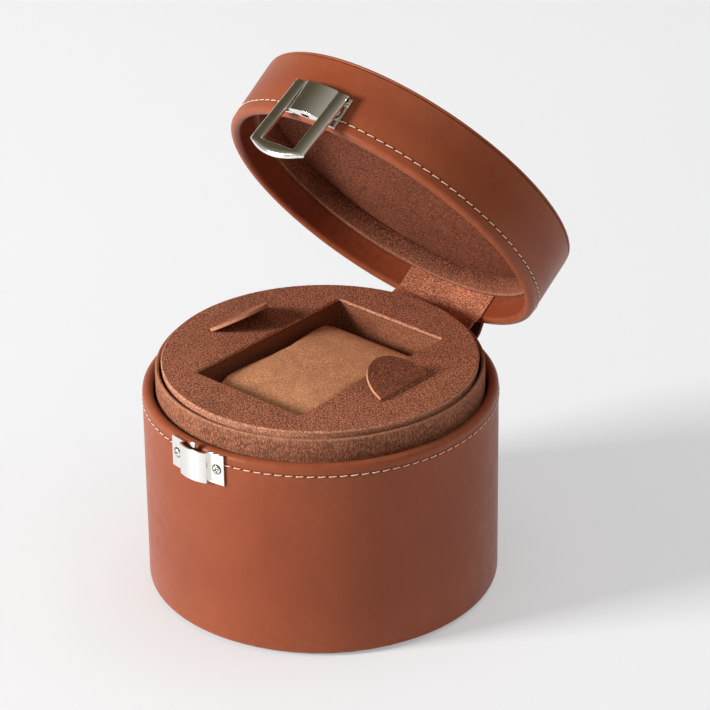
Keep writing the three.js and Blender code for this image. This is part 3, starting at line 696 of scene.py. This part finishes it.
def foothold(on_surface, along, across):
    """A point of a surface, the way out of it, the way along it and the way across."""
    point, out = on_surface(along, across)
    forward = (on_surface(along + 0.1 * MM, across)[0] - point).normalized()
    return point, out, forward, out.cross(forward)


def add_stitch(bm, uv, on_surface, centre):
    """One thread bar, laid along a surface given by on_surface(along, across) -> point, normal."""
    stations, sides = 9, 8
    rings = []
    for t in levels(-1, 1, stations - 1):
        along = centre + t * STITCH_LENGTH / 2
        point, out, _, across = foothold(on_surface, along, t * STITCH_SLANT)
        middle = point + out * (THREAD_HALF * 0.75 - (THREAD_SINK + THREAD_HALF) * t ** 6)
        girth = THREAD_HALF * (1 - 0.35 * t ** 6)
        rings.append(oval(bm, middle, across, out, girth, girth * 0.8, sides))
    for count, face in enumerate(skin(bm, rings, ends=True)):
        i, k = divmod(count, sides)
        for loop, (u, v) in zip(face.loops, [(i, k), (i, k + 1), (i + 1, k + 1), (i + 1, k)]):
            loop[uv].uv = (u / 2, v / sides)


def add_hole(bm, on_surface, along, across):
    """The mouth of a needle hole as a small dark oval: painted shade for the hole's depth."""
    point, out, forward, side = foothold(on_surface, along, across)
    middle = bm.verts.new(point + out * 0.035 * MM)
    rim = oval(bm, point + out * 0.02 * MM, forward, side, HOLE_LONG, HOLE_WIDE, 10)
    for one, two in zip(rim, rim[1:] + rim[:1]):
        bm.faces.new((middle, one, two)).material_index = 1


def stitching(name, height, hidden_front, place, body):
    """The seam round the drum, without what the catch or hasp and the hinge strap cover."""
    def on_surface(along, across):
        out = Vector((sin(along / RADIUS), -cos(along / RADIUS), 0))
        return out * RADIUS + Vector((0, 0, height + across)), out
    count = round(2 * pi * RADIUS / STITCH_PITCH)
    pitch = 2 * pi * RADIUS / count
    bm = bmesh.new()
    uv = bm.loops.layers.uv.new("twist")
    for k in range(count):
        centre = (k - count / 2 + 0.5) * pitch
        if hidden_front < abs(centre) < pi * RADIUS - STRAP_HIDES:
            add_stitch(bm, uv, on_surface, centre)
            add_hole(bm, on_surface, centre + STITCH_PITCH / 2, 0.5 * STITCH_SLANT)
    show(finish_mesh(name, bm, place, radians(80)), [THREAD, HOLE_SHADE], body, "cognac_leather")


# ---- leather drum

HIDE = 0.7 * MM                    # thickness of the leather
FOOT_ROLL = 1.2 * MM
SEAM_DEPTH = 0.16 * MM             # how far the seam is drawn in
SEAM_HALF = 1.3 * MM
BASE_SEAM, LID_SEAM = 4.6 * MM, 4.7 * MM    # in from each rim


def seam_groove(height):
    """The shallow valley that the stitching pulls into the leather, from low to high."""
    return [(RADIUS - SEAM_DEPTH * (1 - t * t) ** 2, height + t * SEAM_HALF)
            for t in levels(-1, 1, 8)]


def base_leather():
    low = sizes("base_leather")[0].z
    inner = sizes("collar_suede")[1].x + 1.0 * MM
    lip, under, foot = RIM - 6.6 * MM, RIM - 1.4 * MM, RADIUS - 2.5 * MM
    roll = (RADIUS - inner) / 2
    outline = [
        (foot, low),
        *arc(RADIUS - FOOT_ROLL, low + FOOT_ROLL, FOOT_ROLL, -90, 0),
        (RADIUS, RIM * 0.3),
        (RADIUS, RIM * 0.6),
        *seam_groove(RIM - BASE_SEAM),
        *arc(RADIUS - roll, RIM - roll, roll, 0, 180, 20),
        (inner, lip),
        (inner + HIDE, lip),
        (inner + HIDE, under),
        (RADIUS - HIDE, under),
        (RADIUS - HIDE, low + FOOT_ROLL),
        (foot, low + HIDE),
    ]
    show(turned("base_cover", outline), COGNAC, "base", "cognac_leather", "base_leather")
    stitching("base_stitching", RIM - BASE_SEAM, CATCH_HIDES, HERE, "base")


def collar():
    low, high = sizes("collar_suede")
    gap, edge = 0.85 * MM, 0.75 * MM
    outer, inner, top = high.x, sizes("disc_suede")[1].x + gap, high.z
    cloth, under = (outer - inner) * 0.2, top - 1.6 * MM
    outline = [
        (outer, low.z),
        (outer + 0.1 * MM, top - 5 * MM),
        *arc(outer - edge, top - edge, edge, 0, 90),
        *arc(inner + edge, top - edge, edge, 90, 180),
        (inner, low.z),
        (inner + cloth, low.z),
        (inner + cloth, under),
        (outer - cloth, under),
        (outer - cloth, low.z),
    ]
    show(turned("collar_cover", outline), COLLAR_SUEDE, "base", "tan_suede", "collar_suede")


# ---- disc, pocket and tabs

POCKET_X = 54.5 * MM
POCKET_Y = 83.5 * MM
TAB_HALF = 13.5 * MM
TAB_THICK = 1.3 * MM
TAB_REACH = 16 * MM
SLIT = 0.5 * MM                    # behind each tab


def pocket_plan(margin=0.0, corner=1.0 * MM):
    """The pocket's outline from above, grown by a margin."""
    return rectangle(POCKET_X / 2 + margin, POCKET_Y / 2 + margin, corner)


def disc():
    low, high = sizes("disc_suede")
    radius, top = high.x, high.z
    fold = top - 1.5 * MM
    slits = []
    for side, joint in ((-1, "left_flap_fold"), (1, "right_flap_fold")):
        middle = joints[joint]["pos_m"][0] + side * 0.4 * MM
        slits.append([(x + middle, y) for x, y in rectangle(SLIT / 2, TAB_HALF, 0.2 * MM, 3)])
    top_sheet = cut_sheet("disc_cover", [circle(radius), pocket_plan(-0.15 * MM), *slits],
                          fold, top, 0.7 * MM)
    under = cut_sheet("disc_under", [circle(radius - 0.25 * MM), pocket_plan(0.6 * MM), *slits],
                      low.z + 1.9 * MM, fold + 0.3 * MM, 0.1 * MM)
    show(join(top_sheet, under), BROWN_SUEDE, "rotor", "brown_suede", "disc_suede", "disc_board")


def pocket():
    """Suede lining that runs up under the disc's folded edge, in a darker copy of the disc's
    suede: painted shade.
    """
    floor, rim = sizes("pocket_lining")[0].z, sizes("disc_suede")[1].z - 1.55 * MM
    loops = [pocket_plan(0.45 * MM, 1.4 * MM), pocket_plan()]
    sides = cut_sheet("pocket_cover", loops, floor, rim, 0.15 * MM)
    bottom = cut_sheet("pocket_bottom", loops[:1], floor, floor + 0.6 * MM, 0.15 * MM)
    show(join(sides, bottom), POCKET_SHADED_SUEDE, "rotor", "brown_suede", "pocket_lining")


def tab(name, joint, side, curled, body, node):
    """A D-shaped double-layer tab, its tip curled up by a small distance."""
    straight = 0.7 * MM
    outline = [(0, -TAB_HALF)]
    outline += [(straight + (TAB_REACH - straight) * cos(radians(a)), TAB_HALF * sin(radians(a)))
                for a in levels(-90, 90, 28)]
    outline.append((0, TAB_HALF))

    def curl(point):
        lift = curled * (point.x / TAB_REACH) ** 2
        return Vector((point.x, point.y, point.z + lift))
    turn = Matrix.Translation(joints[joint]["pos_m"])
    turn = turn @ Matrix.Rotation(side * resting(joint), 4, "Y")
    if side > 0:
        turn = turn @ Matrix.Rotation(pi, 4, "Z")
    obj = raised(name, outline, -TAB_THICK / 2, TAB_THICK / 2, 0.22 * MM, curl, 14, turn)
    up = turn.to_3x3() @ Vector((0, 0, 1))
    for face in obj.data.polygons:
        face.material_index = int(abs(face.normal.dot(up)) < 0.8)
    show(obj, [TAB_SUEDE, CUT_SUEDE], body, "brown_suede", node)


# ---- cushion

def cushion_form():
    """A plump roll along X, a little smaller than its place, before it is stuffed."""
    low, high = sizes("watch_cushion")
    half_x, half_y, half_z = ((high - low) / 2) * 0.94
    middle = (high + low) / 2
    bm = bmesh.new()
    rows = []
    for t in levels(-1, 1, 24):
        ring = []
        for angle in full_turn(72):
            c, s = cos(angle), sin(angle)
            y = half_y * abs(c) ** 0.42 * (1 if c > 0 else -1)
            z = half_z * abs(s) ** 0.5 * (1 if s > 0 else -1)
            ring.append(bm.verts.new(middle + Vector((half_x * t, y, z))))
        rows.append(ring)
    skin(bm, rows, ends=True)
    return finish_mesh("cushion_cover", bm)


def stuffed(obj, pressure=4.0, frames=20, cap=5 * MM):
    """Remeshes the closed mesh evenly, blows it up as cloth and limits how far each point went."""
    modify(obj, "even_cloth", "REMESH", mode="VOXEL", voxel_size=2.4 * MM)
    baked(obj)
    before = [vertex.co.copy() for vertex in obj.data.vertices]
    cloth = obj.modifiers.new("stuffing", "CLOTH")
    configure(cloth.settings, use_pressure=True, uniform_pressure_force=pressure, quality=6,
              mass=0.15, tension_stiffness=12, compression_stiffness=12)
    cloth.settings.effector_weights.gravity = 0
    cloth.point_cache.frame_end = frames
    scene = bpy.context.scene
    for number in range(1, frames + 1):
        scene.frame_set(number)
    baked(obj)
    scene.frame_set(1)
    for vertex, start in zip(obj.data.vertices, before):
        step = vertex.co - start
        if step.length > cap:
            vertex.co = start + step * (cap / step.length)
    return obj


def cushion():
    low, high = sizes("watch_cushion")
    middle = (high + low) / 2
    obj = stuffed(cushion_form())
    limits = (POCKET_X / 2 - 0.9 * MM, POCKET_Y / 2 - 0.9 * MM, (high.z - low.z) / 2)
    for vertex in obj.data.vertices:
        offset = vertex.co - middle
        for axis, limit in enumerate(limits):
            start = 0.8 * limit
            over = abs(offset[axis]) - start
            if over > 0:
                room = limit - start
                offset[axis] = (start + room * tanh(over / room)) * (1 if offset[axis] > 0 else -1)
        vertex.co = middle + offset
    modify(obj, "rounder", "SUBSURF", levels=1, render_levels=1)
    baked(obj)
    obj.data.shade_smooth()
    show(obj, TAN_SUEDE, "cushion", "tan_suede", "watch_cushion")
    cushion_seams(obj)


def cushion_seams(obj):
    """Corded seams where the end panels meet the wrap."""
    low, high = extent(vertex.co for vertex in obj.data.vertices)
    middle = (low + high) / 2
    size, sunk, inset = 0.55 * MM, 0.15 * MM, 2.2 * MM
    bm = bmesh.new()
    for side in (-1, 1):
        x = middle.x + side * ((high.x - low.x) / 2 - inset)
        origin = Vector((x, middle.y, middle.z))
        loop = []
        for angle in full_turn(96):
            ray = Vector((0, cos(angle), sin(angle)))
            hit, point, normal, _ = obj.ray_cast(origin + ray * 0.2, -ray)
            if hit:
                loop.append((point, normal))
        rings = []
        for i, (point, normal) in enumerate(loop):
            forward = (loop[(i + 1) % len(loop)][0] - loop[i - 1][0]).normalized()
            rings.append(oval(bm, point - normal * sunk, normal.cross(forward), normal,
                              size, size, 8))
        skin(bm, rings + rings[:1])
    show(finish_mesh("cushion_piping", bm), TAN_SUEDE, "cushion", "tan_suede")


# ---- lid

def lid():
    bottom = sizes("lid_leather", CLOSED)[0].z
    top = sizes("lid_top_leather", CLOSED)[1].z
    ring_low, ring_high = sizes("lid_suede_ring", CLOSED)
    shoulder, rolled = top - 1.3 * MM, bottom + 1.5 * MM
    ring_edge = ring_low.z - 0.9 * MM
    band, tucked = ring_high.x - 0.65 * MM, ring_edge - 0.3 * MM
    roll, corner, edge = (RADIUS - band) / 2, 0.55 * MM, 0.45 * MM
    outline = [
        (RADIUS - 2 * MM, shoulder),
        *arc(RADIUS - corner, shoulder - corner, corner, 90, 0, 6),
        (RADIUS, (shoulder + bottom + LID_SEAM) / 2),
        *seam_groove(bottom + LID_SEAM)[::-1],
        *arc(RADIUS - roll, bottom + roll, roll, 0, -180, 20),
        (band, tucked),
        (band + HIDE, tucked),
        (band + HIDE, rolled),
        (RADIUS - HIDE, rolled),
        (RADIUS - HIDE, shoulder - HIDE),
        (RADIUS - 2 * MM, shoulder - HIDE),
    ]
    cover = turned("lid_cover", outline, OPEN)
    # faces inside the band take the darker copy of the leather: painted shade
    for face in cover.data.polygons:
        face.material_index = int((CLOSED @ face.center).xy.length < band + 0.3 * MM)
    show(cover, [COGNAC, SHADED_LEATHER], "lid", "cognac_leather", "lid_leather")
    stitching("lid_stitching", bottom + LID_SEAM, HASP_HIDES, OPEN, "lid")

    under, reach = shoulder + 0.25 * MM, RADIUS - 0.1 * MM - edge
    crown = [
        (0, under),
        (RADIUS - 1.6 * MM, under),
        *arc(reach, under + edge, edge, -90, 0, 6),
        *arc(reach, top - edge, edge, 0, 90),
        (RADIUS * 0.6, top),
        (0, top),
    ]
    show(turned("lid_crown", crown, OPEN), COGNAC, "lid", "cognac_leather", "lid_top_leather")

    face, step, small = 63.5 * MM, 0.8 * MM, 0.4 * MM
    lining = [
        (ring_high.x, ring_edge),
        (face + step, ring_edge),
        *arc(face + step, ring_edge + step, step, -90, -180, 6),
        (face, ring_high.z - small),
        *arc(face + small, ring_high.z - small, small, 180, 90, 4),
        (ring_high.x, ring_high.z),
    ]
    show(turned("lid_ring", lining, OPEN), LID_SUEDE, "lid", "brown_suede", "lid_suede_ring")

    low, high = sizes("lid_suede_panel", CLOSED)
    puff = 0.18 * MM
    panel = [(0, high.z), (high.x, high.z), (high.x, low.z)]
    panel += [(face * t, low.z - puff * (1 - t ** 6)) for t in levels(1, 0, 12)]
    show(turned("lid_panel", panel, OPEN), LID_SUEDE, "lid", "brown_suede", "lid_suede_panel")


# ---- hinge cloth

STRAP_INSIDE, STRAP_OUTSIDE = 71.95 * MM, 73.1 * MM    # radii of the CAD strap
OVER_LEAVES, ON_LEATHER = (asin(half * MM / RADIUS) for half in (10.8, 14.5))
GLUED = RADIUS + 0.65 * MM         # radius of the strap's middle where it lies on the leather
ROUND_PIN = 1.5 * MM               # how far the knuckles push it out


def ease(value, low, high):
    """0 up to low, 1 from high on, and smooth between them."""
    t = min(1.0, max(0.0, (value - low) / (high - low)))
    return t * t * (3 - 2 * t)


def bridging(name, profile, half_angle, thickness):
    """A strip round the drum from rows of (radius in the middle, at the sides, height, place)."""
    bm = bmesh.new()
    grid = []
    for middle, side, z, place in profile:
        row = []
        for t in levels(-1, 1, 48):
            angle = half_angle * t
            r = middle + (side - middle) * ease(abs(angle), OVER_LEAVES, ON_LEATHER)
            row.append(bm.verts.new(place @ Vector((r * sin(angle), r * cos(angle), z))))
        grid.append(row)
    skin(bm, grid, closed=False)
    obj = finish_mesh(name, bm)
    modify(obj, "thickness", "SOLIDIFY", thickness=thickness, offset=0)
    modify(obj, "edges", "BEVEL", width=thickness * 0.3, segments=3,
           limit_method="ANGLE", angle_limit=radians(50))
    return baked(obj)


def across_fold(middle, side, low, high, steps):
    """Rows of a strip from the base's part to the lid's, each turned further with the lid."""
    return [(middle, side, low + (high - low) * (i / steps), opened(ease(i / steps, 0, 1)))
            for i in range(1, steps)]


def show_strip(strip, look, slot, radius, low, high, *nodes):
    """Shows a strip as it stands, with its look, in place of its nodes."""
    start, end = Vector((0, radius, low)), OPEN @ Vector((0, radius, high))
    show(strip, look, ("base", "lid", start, end), slot, *nodes)


def hinge_cloth():
    low, high = sizes("hinge_strap_base")
    up_low, up_high = sizes("hinge_strap_lid", CLOSED)
    centre = (high.y + STRAP_INSIDE) / 2
    base_leaf = high.z - sizes("hinge_leaf_base")[0].z
    lid_leaf = sizes("hinge_leaf_lid", CLOSED)[1].z - up_low.z

    def row(z, away, leaf, place):
        """At a distance from the fold: over the knuckles, over the leaf, then on the leather."""
        middle = centre + ROUND_PIN * (1 - ease(away, 0, 4 * MM))
        middle += (GLUED - centre) * ease(away, leaf + 0.2 * MM, leaf + 3.4 * MM)
        side = centre + (GLUED - centre) * ease(away, 1 * MM, 9 * MM)
        return middle, side, z, place
    profile = [row(z, high.z - z, base_leaf, HERE) for z in levels(low.z, high.z, 16)]
    profile += across_fold(centre + ROUND_PIN, centre, high.z, up_low.z, 10)
    profile += [row(z, z - up_low.z, lid_leaf, OPEN) for z in levels(up_low.z, up_high.z, 16)]
    strap = bridging("hinge_strap", profile, asin(high.x / STRAP_OUTSIDE), 1.1 * MM)
    show_strip(strap, STRAP, "strap_leather", centre, high.z, up_low.z,
               "hinge_strap_base", "hinge_strap_lid")

    low, high = sizes("hinge_gusset_base")
    up_low, up_high = sizes("hinge_gusset_lid", CLOSED)
    inside = high.y - 0.3 * MM
    profile = [(inside, inside, z, HERE) for z in levels(low.z, high.z, 4)]
    profile += across_fold(inside, inside, high.z, up_low.z, 16)
    profile += [(inside, inside, z, OPEN) for z in levels(up_low.z, up_high.z, 4)]
    gusset = bridging("hinge_gusset", profile, asin(high.x / high.y), 0.55 * MM)
    show_strip(gusset, GUSSET_SUEDE, "brown_suede", inside, high.z, up_low.z,
               "hinge_gusset_base", "hinge_gusset_lid")


# ---- hasp and catch

PLATE, PLATE_HALF = 0.8 * MM, 13.4 * MM
STAND_OFF = 0.2 * MM               # flanges over the leather
SCREW_ANGLE = asin(10.3 / 71)


def filleted(points, radius, steps=4):
    """The path with each corner turned into a small curve."""
    points = [Vector(point) for point in points]
    out = points[:1]
    for before, here, after in zip(points, points[1:], points[2:]):
        a, b = before - here, after - here
        if pi - a.angle(b) < radians(20):
            out.append(here)
            continue
        size = min(radius, a.length * 0.45, b.length * 0.45)
        start, end = here + a.normalized() * size, here + b.normalized() * size
        out += [start * (1 - t) ** 2 + here * 2 * t * (1 - t) + end * t * t
                for t in levels(0, 1, steps)]
    return out + points[-1:]


def ribbon(path, thickness):
    """A closed outline that follows a path at half the thickness on each side."""
    left, right = [], []
    for before, here, after in zip(path[:1] + path, path, path[1:] + path[-1:]):
        forward = (after - before).normalized()
        side = Vector((-forward.y, forward.x)) * thickness / 2
        left.append(here + side)
        right.append(here - side)
    return left + right[::-1]


def bridge_path(arch, wall, crest):
    """Middle line of a bridge plate in plan: flanges on the drum and a domed middle."""
    middle = RADIUS + STAND_OFF + PLATE / 2
    arch, wall, crest = (each - PLATE / 2 for each in (arch, wall, crest))
    side = [(x, -sqrt(middle * middle - x * x)) for x in levels(-PLATE_HALF, -arch, 5)]
    dome = [(t * arch, -(RADIUS + crest - (crest - wall) * t * t)) for t in levels(-1, 1, 16)]
    return filleted(side + dome + [(-x, y) for x, y in reversed(side)], 0.7 * MM)


def bridge_plate(name, node, arch, wall, crest, place):
    low, high = sizes(node, place.inverted())
    outline = ribbon(bridge_path(arch * MM, wall * MM, crest * MM), PLATE)
    return raised(name, outline, low.z, high.z, 0.13 * MM, place=place)


def screw(name, angle, height, place, body, node):
    """A domed screw head with a cross recess, radial to the drum, on a dark disc that is painted
    shadow round the head; the recess faces are painted shade.
    """
    seat = RADIUS + STAND_OFF + PLATE + 0.05 * MM
    reach = 1.75 * MM
    head = [(0, 0.0), (reach, 0.0), (reach, 0.12 * MM)]
    head += [(0.97 * reach * cos(radians(a)), 0.12 * MM + 0.5 * MM * sin(radians(a)))
             for a in range(10, 90, 10)]
    head.append((0, 0.62 * MM))
    # a dark disc a little wider than the head, level with the plate: painted shadow round the head
    sunk, rim = -0.04 * MM, 0.02 * MM
    ring = [(0, sunk), (2.1 * MM, sunk), (2.1 * MM, rim), (0, rim)]
    standing = (place @ Matrix.Rotation(angle, 4, "Z") @ Matrix.Translation((0, -seat, height))
                @ Matrix.Rotation(pi / 2, 4, "X") @ Matrix.Rotation(radians(20), 4, "Z"))
    obj = turned(name, head, standing, 40)
    shadow_disc = turned(name + "_shadow_disc", ring, standing, 40)
    arm, half = 1.25 * MM, 0.24 * MM
    quarter = [(arm, -half), (arm, half), (half, half)]
    plus = [(x * cos(a) - y * sin(a), x * sin(a) + y * cos(a))
            for a in (0, pi / 2, pi, 3 * pi / 2) for x, y in quarter]
    cut_away(obj, raised(name + "_recess", plus, 0.25 * MM, 1.2 * MM, 0.01 * MM, place=standing))
    # faces inside the cross recess take the dark material: painted shade
    dark = []
    for face in obj.data.polygons:
        x, y, z = standing.inverted() @ face.center
        dark.append(int(0.2 * MM < z < 0.44 * MM and sqrt(x * x + y * y) < 1.28 * MM))
    join(obj, shadow_disc)
    dark += [1] * (len(obj.data.polygons) - len(dark))
    obj.data.set_sharp_from_angle(angle=radians(30))
    obj.data.polygons.foreach_set("material_index", dark)
    show(obj, [NICKEL, HOLE_SHADE], body, "nickel", node)


def screws(part, height, place, body):
    for turn, side in ((-SCREW_ANGLE, "left"), (SCREW_ANGLE, "right")):
        screw(f"{part}_screw_{side[0]}", turn, height, place, body, f"{part}_screw_{side}")


def catch():
    low, high = sizes("catch_plate")
    plate = bridge_plate("catch_bridge", "catch_plate", 6.8, 2.8, 4, HERE)
    show(plate, NICKEL, "base", "nickel", "catch_plate")
    pin_low, pin_high = sizes("catch_pin")
    half, front, back = 4 * MM, -RADIUS - 2.5 * MM, -RADIUS - 0.35 * MM
    bar = [(-half, front), (half, front), (half, back), (-half, back)]
    block = raised("catch_block", bar, pin_low.z, pin_low.z + 4 * MM, 0.15 * MM)
    tongue = [(x, y - RADIUS - 1.9 * MM) for x, y in rectangle(1.25 * MM, 0.55 * MM, 0.35 * MM)]
    post = raised("catch_post", tongue, pin_low.z + 3 * MM, pin_high.z, 0.3 * MM)
    show(join(baked(block), baked(post)), NICKEL, "base", "nickel", "catch_pin")
    screws("catch", (low.z + high.z) / 2, HERE, "base")


def loop_stations(half, window, sill, top, corner, dip):
    """Inner edge, outer edge and lower bevel of the hasp's loop, from one top end to the other."""
    fillet, narrow, wide = 0.6 * MM, 0.3 * MM, 1.25 * MM

    def bow(x):
        t = (x + half) / (2 * half)
        return corner - 2 * t * (1 - t) * dip
    stations = []
    for height in levels(top, sill + fillet, 14):
        stations.append(((window, height), (half, height), narrow))
    for i in range(1, 10):
        angle = pi / 2 * i / 9
        inner = (window - fillet + fillet * cos(angle), sill + fillet - fillet * sin(angle))
        if i <= 3:
            outer = (half, sill + fillet + (corner - sill - fillet) * i / 3)
        else:
            x = half + (window - fillet - half) * (i - 3) / 6
            outer = (x, bow(x))
        stations.append((inner, outer, narrow + (wide - narrow) * max(0, i - 3) / 6))
    for i in range(1, 9):
        x = (window - fillet) * (1 - i / 8)
        stations.append(((x, sill), (x, bow(x)), wide))
    mirrored = [((-a[0], a[1]), (-b[0], b[1]), bevel) for a, b, bevel in stations[-2::-1]]
    return stations + mirrored


def loop_bars(place):
    """The hasp's loop: two side bars and a bow at the foot, bevelled wide along its lower edge."""
    pivot = CLOSED @ Vector(joints["hasp_hinge"]["pos_m"])
    half, window, sill = 13.3 * MM, 8.1 * MM, 68.9 * MM
    thick, small, crown = 1.6 * MM, 0.26 * MM, 0.2 * MM
    back, curve, share = 71.9 * MM, 72.7 * MM, 0.45    # bent to a share of the drum's curve
    bm = bmesh.new()
    sections = []
    for inner, outer, bevel in loop_stations(half, window, sill, pivot.z + 1.3 * MM,
                                             sill - 1 * MM, 8.4 * MM):
        start, span = Vector(inner), Vector(outer) - Vector(inner)
        width = span.length
        drop = min(bevel, 1.05 * MM)
        section = [
            (small, 0), (0, small), (0, thick - small), (0.3 * small, thick - 0.3 * small),
            *((small + (width - bevel - small) * i / 6, thick + crown * (1 - (i / 3 - 1) ** 2))
              for i in range(7)),
            (width - 0.5 * bevel, thick - 0.42 * drop), (width, thick - drop), (width, small),
            (width - small, 0), (width / 2, 0),
        ]
        ring = []
        for across, out in section:
            x, height = start + span * (across / width)
            bent = share * (1 - cos(asin(x / curve))) * curve
            ring.append(bm.verts.new((x, -(back + out - bent), height)))
        sections.append(ring)
    skin(bm, sections, ends=True)
    return baked(flat_faces(finish_mesh("hasp_loop", bm, place, radians(40))))


def hasp():
    low, high = sizes("hasp_plate", CLOSED)
    plate = bridge_plate("hasp_bridge", "hasp_plate", 7.95, 3.5, 4.65, OPEN)
    half, crest, fall, reach = 7.45, 4.6, 1.12, 7.6    # of the end cap, in mm
    cap = [(x * MM, -RADIUS - (crest - fall * (x / reach) ** 2) * MM)
           for x in levels(-half, half, 16)]
    cap += [(x * MM, -RADIUS - 0.6 * MM) for x in (half, -half)]
    closing = raised("hasp_end", cap, low.z - 0.06 * MM, low.z + PLATE, 0.15 * MM, place=OPEN)
    slot = [(x, y - RADIUS - 1.95 * MM) for x, y in rectangle(2.0 * MM, 0.9 * MM, 0.85 * MM)]
    cut_away(closing, raised("hasp_slot", slot, low.z - 1 * MM, low.z + 2 * MM, 0.01 * MM,
                             place=OPEN))
    show(join(baked(plate), closing), NICKEL, "lid", "nickel", "hasp_plate")
    screws("hasp", (low.z + high.z) / 2 - 0.6 * MM, OPEN, "lid")

    pivot = CLOSED @ Vector(joints["hasp_hinge"]["pos_m"])
    hanging = Matrix.Rotation(-resting("hasp_hinge"), 4, "X")
    swing = OPEN @ Matrix.Translation(pivot) @ hanging @ Matrix.Translation(-pivot)
    bars = loop_bars(swing)
    start, length, outer, edge = 8.1 * MM, 5.2 * MM, 0.9 * MM, 0.15 * MM
    shape = [(0.8 * MM, 0), *arc(outer, edge, edge, -90, 0, 3),
             *arc(outer, length - edge, edge, 0, 90, 3), (0.8 * MM, length)]
    knuckles = []
    for side in (-1, 1):
        along_x = Matrix.Rotation(side * pi / 2, 4, "Y")
        at = Matrix.Translation(pivot + Vector((side * start, 0, 0)))
        knuckles.append(turned("knuckle", shape, swing @ at @ along_x, 32))
    show(join(bars, *knuckles), NICKEL, "hasp", "nickel", "hasp_frame")


# ---- the rest of the CAD nodes

CARRIED_OVER = {
    FELT: ["felt_pad"],
    BOARD: ["base_board", "base_shell", "inner_tube", "lid_shell"],
    BLACK_PLASTIC: ["deck_post_1", "deck_post_2", "deck_post_3", "deck_plate", "switch_body",
                    "battery_box", "battery_cover", "rotor_tray"],
    WHITE_PLASTIC: ["motor_pinion", "drive_gear", "switch_knob"],
    STEEL: ["motor", "spindle", "battery_1", "battery_2", "contact_bridge", "contact_positive",
            "contact_negative", "cover_screw", "hinge_pin", "hasp_pin"],
    BRASS: ["spindle_bearing", "hinge_leaf_base", "hinge_leaf_lid"],
    CIRCUIT: ["control_board"],
    FOAM: ["lid_pad"],
}


def dress_frame():
    for look, names in CARRIED_OVER.items():
        for name in names:
            node = frame["nodes"][name]
            node.data.materials.clear()
            node.data.materials.append(look)


# ---- scene

bpy.context.scene.view_settings.view_transform = "Standard"
add_camera()
add_world()
add_floor()
add_light("key", -31, 20, 3.0, (0.8, 0.8), 116, (1.0, 0.985, 0.96))
add_light("overhead", 165, 66, 2.6, (2.6, 2.2), 18, (0.97, 0.985, 1.0))

base_leather()
collar()
disc()
pocket()
tab("tab_left", "left_flap_fold", -1, 0.0, "left_flap", "flap_left")
tab("tab_right", "right_flap_fold", 1, 0.5 * MM, "right_flap", "flap_right")
cushion()
lid()
hinge_cloth()
catch()
hasp()
dress_frame()
